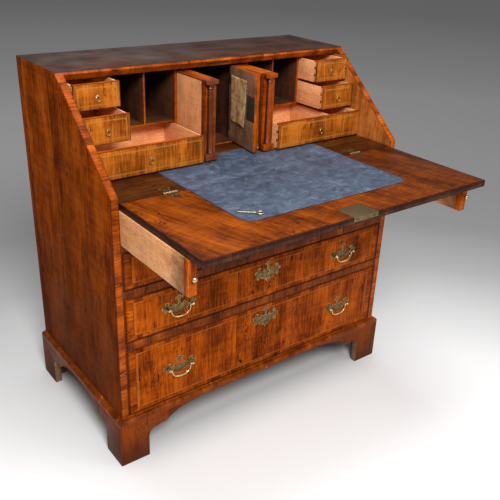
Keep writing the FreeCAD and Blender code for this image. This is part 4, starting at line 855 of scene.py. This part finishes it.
oak_lining = [pale_oak("pale oak " + way, axis) for axis, way in enumerate(("across", "deep", "upright"))]
loper_face = plain_wood("loper facing", 2, WALNUT, 0.4, 0.6, 1.6)
loper_oak = pale_oak("loper oak", 1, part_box("left_loper")[0].y + 0.018)
knob_brass = old_brass("knob brass", (0.68, 0.53, 0.26), 0.35, 0.2)


def along_longest(low, high, centre, normal):
    """Pale oak whose grain runs along the board."""
    size = high - low
    return oak_lining[max(range(3), key=lambda axis: size[axis])]


def loper_skin(low, high, centre, normal):
    return loper_face if high.y - low.y < 0.03 else loper_oak


for side in ("left", "right"):
    dressed(side + "_loper", loper_skin, 0.001)
    dressed(side + "_loper_knob", knob_brass, 0.0003)

# Four long drawers fill the carcase. Their walnut fronts have a cross-banded border, a feather
# line inside it and a field of upright veneer in matched sheets; their linings are oak.
edge_walnut = plain_wood("drawer front edges", 0, WALNUT, 0.45, 0.4, 1.6)


def dovetailed(name, box, face_y, thickness, count):
    """The end of a drawer front: the sides' oak tails are let into its walnut from behind."""
    wood = Surface(name)
    x, y, z = wood.axes
    wood.grain(wood.along(1, 2), OAK, 0.004, 0.0, 0.3, 1.5)
    oak = wood.colour
    wood.grain(wood.place, WALNUT, 0.004, 0.0, 0.0, 3.0)
    low, high = box
    tail_depth, pitch = thickness * 0.68, (high.z - low.z) / count
    deep = (y - (face_y + thickness - tail_depth)) / tail_depth
    off = abs((z - low.z) / pitch % 1.0 - 0.5)
    edge = deep * -0.1 + 0.4 - off
    wood.cover(edge.least(deep) > 0.0, oak)
    wood.joint(abs(edge) * pitch + (deep < 0.0))
    wood.joint(abs(deep) * tail_depth + (edge < 0.0))
    return wood.polished(0.55)


def dressed_drawer(node, front, thickness, count, post_reach=0.0, width=0.0009):
    """A drawer: its veneered front, that board's edges, and oak for the lining behind it."""
    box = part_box(node)
    face_y = box[0].y + post_reach
    ends = dovetailed(node.replace("_", " ") + " dovetails", box, face_y, thickness, count)

    def choose(low, high, centre, normal):
        if low.y > face_y + thickness / 2:
            return along_longest(low, high, centre, normal)
        if high.y < face_y + thickness / 2:
            return knob_brass
        if normal.y < -0.6 and centre.y < face_y + 0.0004:
            return front
        if abs(normal.x) > 0.6 and centre.y < face_y + thickness:
            return ends
        return edge_walnut if normal.y < 0.6 else oak_lining[0]

    dressed(node, choose, width)


WORN_WALNUT = ((0.012, 0.003, 0.001), (0.11, 0.017, 0.001), (0.29, 0.05, 0.002), (0.52, 0.11, 0.004))
for name in DRAWERS:
    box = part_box(name + "_drawer")
    tones = WALNUT if name == "third" else WORN_WALNUT
    band = (0.024, 0.012 if name == "top" else 0.0135)
    front = banded_sheet(name + " drawer front", box, 2, tones, band, 0.205, 0.3, lines=0.5, sheen=0.025)
    dressed_drawer(name + "_drawer", front, 0.02, round((box[1].z - box[0].z) / 0.04))

# Each drawer has two shaped brass plates with bails, and a keyhole plate of the same pattern.
# The bails are cast: thick in the middle and thin where they turn in to their posts.
handle_brass = old_brass("handle brass", (0.8, 0.62, 0.3), 0.6, 0.18)
plate_brass = old_brass("plate brass", (0.19, 0.135, 0.055), 0.85, 0.3)
HANDLE_PLACE = 0.289


def bail_growth():
    """A cast bail on each point: a squarish arch, thickest at its middle, with a pin at each end."""
    rule = Rule("bail", "Reach", "Span", "Drop", "Thin", "Thick", "Squareness")
    reach, span, drop, thin, thick, squareness = rule.sizes
    line = rule.part("ResampleCurve", Curve=rule.part("CurvePrimitiveLine"), Count=49)
    turn = rule.part("SplineParameter") * math.pi
    across, down = turn.cosine(), turn.sine().most(0.0)
    level = abs(across) ** squareness * across.sign() * reach
    place = rule.point(level, 0.0, down**squareness * drop * -1.0)
    path = rule.part("SetPosition", Geometry=line, Position=place)
    radius = down**2.5 * (thick - thin) + thin
    ring = rule.part("CurvePrimitiveCircle", Resolution=14, Radius=1.0)
    sweep = {"Curve": path, "Profile Curve": ring, "Scale": radius, "Fill Caps": True}
    parts = [rule.part("CurveToMesh", **sweep)]
    length = span - reach + thin
    rod = rule.part("MeshCylinder", Vertices=14, Radius=thin, Depth=length)
    rod = rule.part("Transform", Geometry=rod, Rotation=(0.0, math.pi / 2, 0.0))
    middle = span - length / 2.0
    for way in (-1.0, 1.0):
        move = rule.point(middle * way, 0.0, 0.0)
        parts.append(rule.part("Transform", Geometry=rod, Translation=move))
    smooth = rule.part("SetShadeSmooth", Geometry=rule.joined(parts))
    return rule.close(smooth, handle_brass)


def plate_skin(low, high, centre, normal):
    """The plates' flat faces are duller than their filed rims and the posts."""
    return plate_brass if high.x - low.x > 0.04 and normal.y < -0.97 else handle_brass


bail_rule = bail_growth()
for name in DRAWERS:
    dressed(name + "_brasses", plate_skin, 0.0005)
    low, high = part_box(name + "_bails")
    wire = (high.y - low.y) / 2
    spots = [(side, low.y + wire, high.z - wire) for side in (-HANDLE_PLACE, HANDLE_PLACE)]
    span = high.x - HANDLE_PLACE
    sizes = {"Reach": span - 0.0068, "Span": span, "Drop": high.z - low.z - 2 * wire}
    sizes.update({"Thin": 0.0017, "Thick": 0.0029, "Squareness": 0.78})
    bails = grown(name + "_bails_cast", spots, bail_rule, sizes)
    settle(bails, name + "_bails", instead=True)

# Six small drawers sit in the interior, their fronts strung with a light rope line. They have
# oak linings and brass rings on turned posts.
SMALL_WALNUT = ((0.03, 0.008, 0.002), (0.19, 0.042, 0.003), (0.44, 0.118, 0.009), (0.68, 0.225, 0.026))
POST_REACH = 0.006


def strung_front(name, box):
    """A small drawer front with a line of rope stringing inset from its edges."""
    wood = Surface(name)
    x, y, z = wood.axes
    low, high = box
    gap = inside(x, low.x, high.x).least(inside(z, low.z, high.z))
    wood.grain(wood.along(2), SMALL_WALNUT, 0.006, 0.9, 0.8)
    rope = (x + z) * 210.0 % 1.0
    string = rope.ramp(((0.35, (0.62, 0.3, 0.06)), (0.65, (0.26, 0.075, 0.012))))
    wood.cover(abs(gap - 0.0105).smooth(0.0012, 0.0022, 0.5, 0.0), string)
    # Dirt and painted shade: the front darkens towards its edges.
    wood.dirt_and_shade(gap, 0.003, 0.8)
    return wood.polished()


for side in ("left", "right"):
    for kind in ("wide", "lower", "upper"):
        name = side + "_" + kind
        front = strung_front(side + " " + kind + " front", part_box(name + "_drawer"))
        dressed_drawer(name + "_drawer", front, 0.011, 3, POST_REACH, 0.0005)
        dressed(name + "_ring", knob_brass, 0.0)

# The right wide drawer keeps a place for ink behind a partition, and a small square glass bottle
# with a brass cap stands in it.


def ink_bottle():
    low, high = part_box("right_wide_drawer")
    middle = Vector((high.x - 0.03, low.y + POST_REACH + 0.034, low.z + 0.0072))
    outline = (
        ((0.0, 0.0), (0.0125, 0.0), (0.014, 0.0015), (0.014, 0.028), (0.011, 0.032), (0.0075, 0.0335)),
        ((0.0078, 0.0336), (0.0092, 0.034), (0.0092, 0.042), (0.008, 0.0436), (0.0, 0.0447)),
    )
    glass = Surface("ink glass")
    glass.colour = glass.cloud(90.0, 4.0).ramp(((0.35, (0.006, 0.01, 0.012)), (0.65, (0.025, 0.042, 0.04))))
    turns = 32
    work = bmesh.new()
    for index, profile in enumerate(outline):
        rings = []
        for radius, height in profile:
            ring = []
            for step in range(turns):
                angle = 2 * math.pi * step / turns
                squarish = 1.0 + 0.1 * math.cos(4 * angle) * (index == 0 and height < 0.029)
                way = Vector((math.cos(angle), math.sin(angle), 0.0)) * max(radius, 0.0004) * squarish
                ring.append(work.verts.new(middle + way + Vector((0.0, 0.0, height))))
            rings.append(ring)
        for under, over in zip(rings, rings[1:]):
            for step in range(turns):
                after = (step + 1) % turns
                face = work.faces.new((under[step], under[after], over[after], over[step]))
                face.material_index, face.smooth = index, True
        for ring in (rings[0][::-1], rings[-1]):
            work.faces.new(ring).material_index = index
    return linked("ink_bottle", as_mesh("ink_bottle", work, (glass.finish(0.12, 0.5), knob_brass)))


settle(ink_bottle(), "right_wide_drawer")

# Two document slides stand beside the cupboard, each faced with a half column. They are thin oak
# boxes with a walnut top, a walnut front and a turned column between two blocks.
RED_WALNUT = ((0.018, 0.005, 0.003), (0.085, 0.018, 0.007), (0.165, 0.038, 0.013), (0.26, 0.072, 0.024))
slide_top = plain_wood("slide top", 1, WALNUT, 0.42, 0.4, 1.6)
slide_board = plain_wood("slide front board", 2, WORN_WALNUT, 0.4, 0.4, 2.0)


def turned_wood(name, tones, box):
    """A turned column's walnut with painted shade: darker towards its sides, where it meets its
    board, so that it reads round, and in the rings by its blocks.
    """
    wood = Surface(name)
    x, y, z = wood.axes
    low, high = box
    wood.grain(wood.along(2), tones, 0.004, 0.4, 0.6, 2.0)
    # Painted shade: the column darkens towards its sides.
    wood.cover(abs(x - (low.x + high.x) / 2).smooth(0.004, 0.0088, 0.0, 0.85), tones[0])
    # Painted shade in the rings by its blocks.
    for level in (low.z + 0.017, low.z + 0.026, high.z - 0.019, high.z - 0.011):
        wood.dirt_and_shade(abs(z - level), 0.0022)
    return wood.polished(0.24, 0.4)


for side, tones in (("left", RED_WALNUT), ("right", WORN_WALNUT)):
    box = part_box(side + "_slide")
    column = turned_wood(side + " column", tones, box)
    block = plain_wood(side + " column blocks", 2, tones, 0.34, 0.4, 2.0)

    def slide_skin(low, high, centre, normal, column=column, block=block, end=box[0].y + 0.0245):
        size = high - low
        if high.y > end:
            return slide_top if size.z < 0.01 and low.z > 0.9 else along_longest(low, high, centre, normal)
        if size.z < 0.1:
            return block
        return column if size.x < 0.03 else slide_board

    dressed(side + "_slide", slide_skin, 0.0005)

# The cupboard door is hinged on its right and stands wide open. It is walnut outside and dark
# and bare inside, with an iron lock let in near its free edge.
door_wood = plain_wood("door walnut", 2, WALNUT, 0.38)
BARE_WALNUT = ((0.05, 0.021, 0.012), (0.17, 0.076, 0.042), (0.29, 0.14, 0.078), (0.4, 0.215, 0.13))
door_inner = plain_wood("door inside", 2, BARE_WALNUT, 0.6)
DOOR_TURN = math.radians(82.5)
DOOR_PIN = Vector((0.075, 0.1992, 0.0))
DOOR_THICKNESS = 0.015
level_way = Vector((math.cos(DOOR_TURN), math.sin(DOOR_TURN), 0.0))
inner_way = Vector((-level_way.y, level_way.x, 0.0))


def door_skin(low, high, centre, normal):
    if high.z - low.z < 0.05:
        return knob_brass
    return door_inner if normal.dot(inner_way) > 0.6 else door_wood


def old_paper(fold_level):
    """Brown, spotted paper with a dirty fold across it."""
    paper = Surface("old paper")
    blotch, spots = paper.cloud(38.0, 5.0, 0.6), paper.cloud(240.0, 3.0)
    stops = ((0.36, (0.3, 0.135, 0.045)), (0.5, (0.58, 0.34, 0.15)), (0.66, (0.76, 0.5, 0.26)))
    paper.colour = blotch.ramp(stops)
    paper.cover(spots.smooth(0.6, 0.72, 0.0, 0.6), (0.1, 0.042, 0.014))
    paper.cover(abs(paper.axes[2] - fold_level).smooth(0.0003, 0.0022, 0.55, 0.0), (0.14, 0.07, 0.03))
    paper.bump(blotch + spots, 0.0002, 0.5)
    return paper.finish(0.85, 0.1)


def bare_label():
    """A torn, curled sheet of old paper, pasted on the door's inner face."""
    columns, rows = 26, 36
    left, right, low, high = -0.1, -0.012, 0.806, 0.936
    chance = random.Random(12)
    ragged = [[chance.uniform(-1.0, 1.0) for _ in range(max(columns, rows) + 1)] for _ in range(4)]
    work = bmesh.new()

    def corner(column, row):
        u, v = column / columns, row / rows
        tear_x = 0.0016 * (ragged[0][row] * (1 - u) ** 8 + ragged[1][row] * u**8)
        tear_z = 0.0014 * (ragged[2][column] * (1 - v) ** 8 + ragged[3][column] * v**8)
        curl = 0.0035 * (max(0.0, 1.15 - u - v) ** 3) + 0.0012 * (max(0.0, u + v - 1.7) * 3) ** 2
        wave = 0.00022 * (1.0 + math.sin(19.0 * u + 7.0 * v) * math.sin(11.0 * v - 4.0 * u))
        along = left + (right - left) * u + tear_x
        spot = DOOR_PIN + level_way * along + inner_way * (DOOR_THICKNESS + 0.0002 + curl + wave)
        spot.z = low + (high - low) * v + tear_z
        return work.verts.new(spot)

    grid = [[corner(column, row) for column in range(columns + 1)] for row in range(rows + 1)]
    for near, far in zip(grid, grid[1:]):
        for step in range(columns):
            work.faces.new((near[step], near[step + 1], far[step + 1], far[step])).smooth = True
    bmesh.ops.recalc_face_normals(work, faces=work.faces)
    bmesh.ops.solidify(work, geom=work.faces[:], thickness=0.00015)
    return linked("door_label", as_mesh("door_label", work, [old_paper((low + high) / 2)]))


dressed("cupboard_door", door_skin, 0.0005)
settle(bare_label(), "cupboard_door")
dressed("door_ring", knob_brass, 0.0)
iron = old_brass("lock iron", (0.2, 0.18, 0.15), 0.8, 0.5)
dressed("door_fittings", iron, 0.0002)

# A wide pale floor lies under soft studio light. Painted light falloff makes it bright round the
# bureau and grey far off, and a painted shadow lies under the case. The camera stands where the
# photograph was taken from.


def floor_paper():
    """Pale paper with painted light falloff, its grey changing with the distance from its middle,
    and a painted shadow under the case."""
    paper = Surface("floor paper")
    x, y, z = paper.axes
    wide = 12.0
    # Painted light falloff: the paper's grey ramps down with the distance from its middle.
    away = (x + 0.5).reach(y + 1.35) / wide
    near = ((0.0, 0.9), (1.2, 0.88), (1.65, 0.76), (2.05, 0.58), (2.3, 0.44), (2.8, 0.33))
    far = ((3.3, 0.36), (5.8, 0.64), (8.4, 0.68), (wide, 0.58))
    paper.colour = away.ramp([(reach / wide, [grey] * 3) for reach, grey in near + far])
    # Painted shadow: the floor darkens under the case and fades out beyond its footprint.
    low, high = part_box("bottom_board")
    past_x = inside(x, low.x + 0.06, high.x - 0.06).least(0.0)
    past_y = inside(y, low.y + 0.04, high.y - 0.04).least(0.0)
    paper.cover(past_x.reach(past_y).smooth(-0.1, 0.17, 0.86, 0.0) ** 1.4, (0.1, 0.1, 0.1))
    return paper.finish(0.9, 0.05)


def area_light(name, place, target, size, power):
    data = bpy.data.lights.new(name, "AREA")
    data.shape = "DISK"
    data.size = size
    data.energy = power
    light = linked(name, data)
    light.location = place
    light.rotation_euler = (Vector(target) - Vector(place)).to_track_quat("-Z", "Y").to_euler()


def photograph_camera():
    """The camera, whose heading, pitch and roll fit the photograph's straight edges."""
    heading, pitch, roll = 0.662, 0.449, 0.0425
    data = bpy.data.cameras.new("camera")
    data.sensor_width = 36.0
    data.lens = 48.84
    camera = linked("camera", data)
    stand = Matrix.Translation((-1.075, -1.3844, 1.324))
    for angle, axis in ((-heading, "Z"), (math.pi / 2 - pitch, "X"), (roll, "Z")):
        stand = stand @ Matrix.Rotation(angle, 4, axis)
    camera.matrix_world = stand
    bpy.context.scene.camera = camera


circle = bmesh.new()
bmesh.ops.create_circle(circle, cap_ends=True, segments=96, radius=16.0)
linked("floor", as_mesh("floor", circle, [floor_paper()]))
area_light("key light", (-1.2, -2.5, 2.9), (0.0, 0.0, 0.5), 1.2, 150.0)
area_light("fill light", (1.9, -2.4, 1.9), (0.0, 0.0, 0.5), 2.0, 22.0)
area_light("top light", (0.0, 0.1, 3.3), (0.0, 0.0, 0.6), 1.5, 44.0)
area_light("back light", (0.9, 3.0, 2.4), (0.0, 0.3, 0.5), 2.2, 6.0)
world = bpy.data.worlds.new("studio")
world.use_nodes = True
air = Tree(world.node_tree)
seen = air.add("LightPath", output="Is Camera Ray")
grey = air.add("MapRange", {"Value": seen, "To Min": 1.0, "To Max": 0.55})
air.feed(world.node_tree.nodes["Background"], {"Color": grey, "Strength": 0.19})
bpy.context.scene.world = world
bpy.context.scene.view_settings.view_transform = "Standard"
photograph_camera()
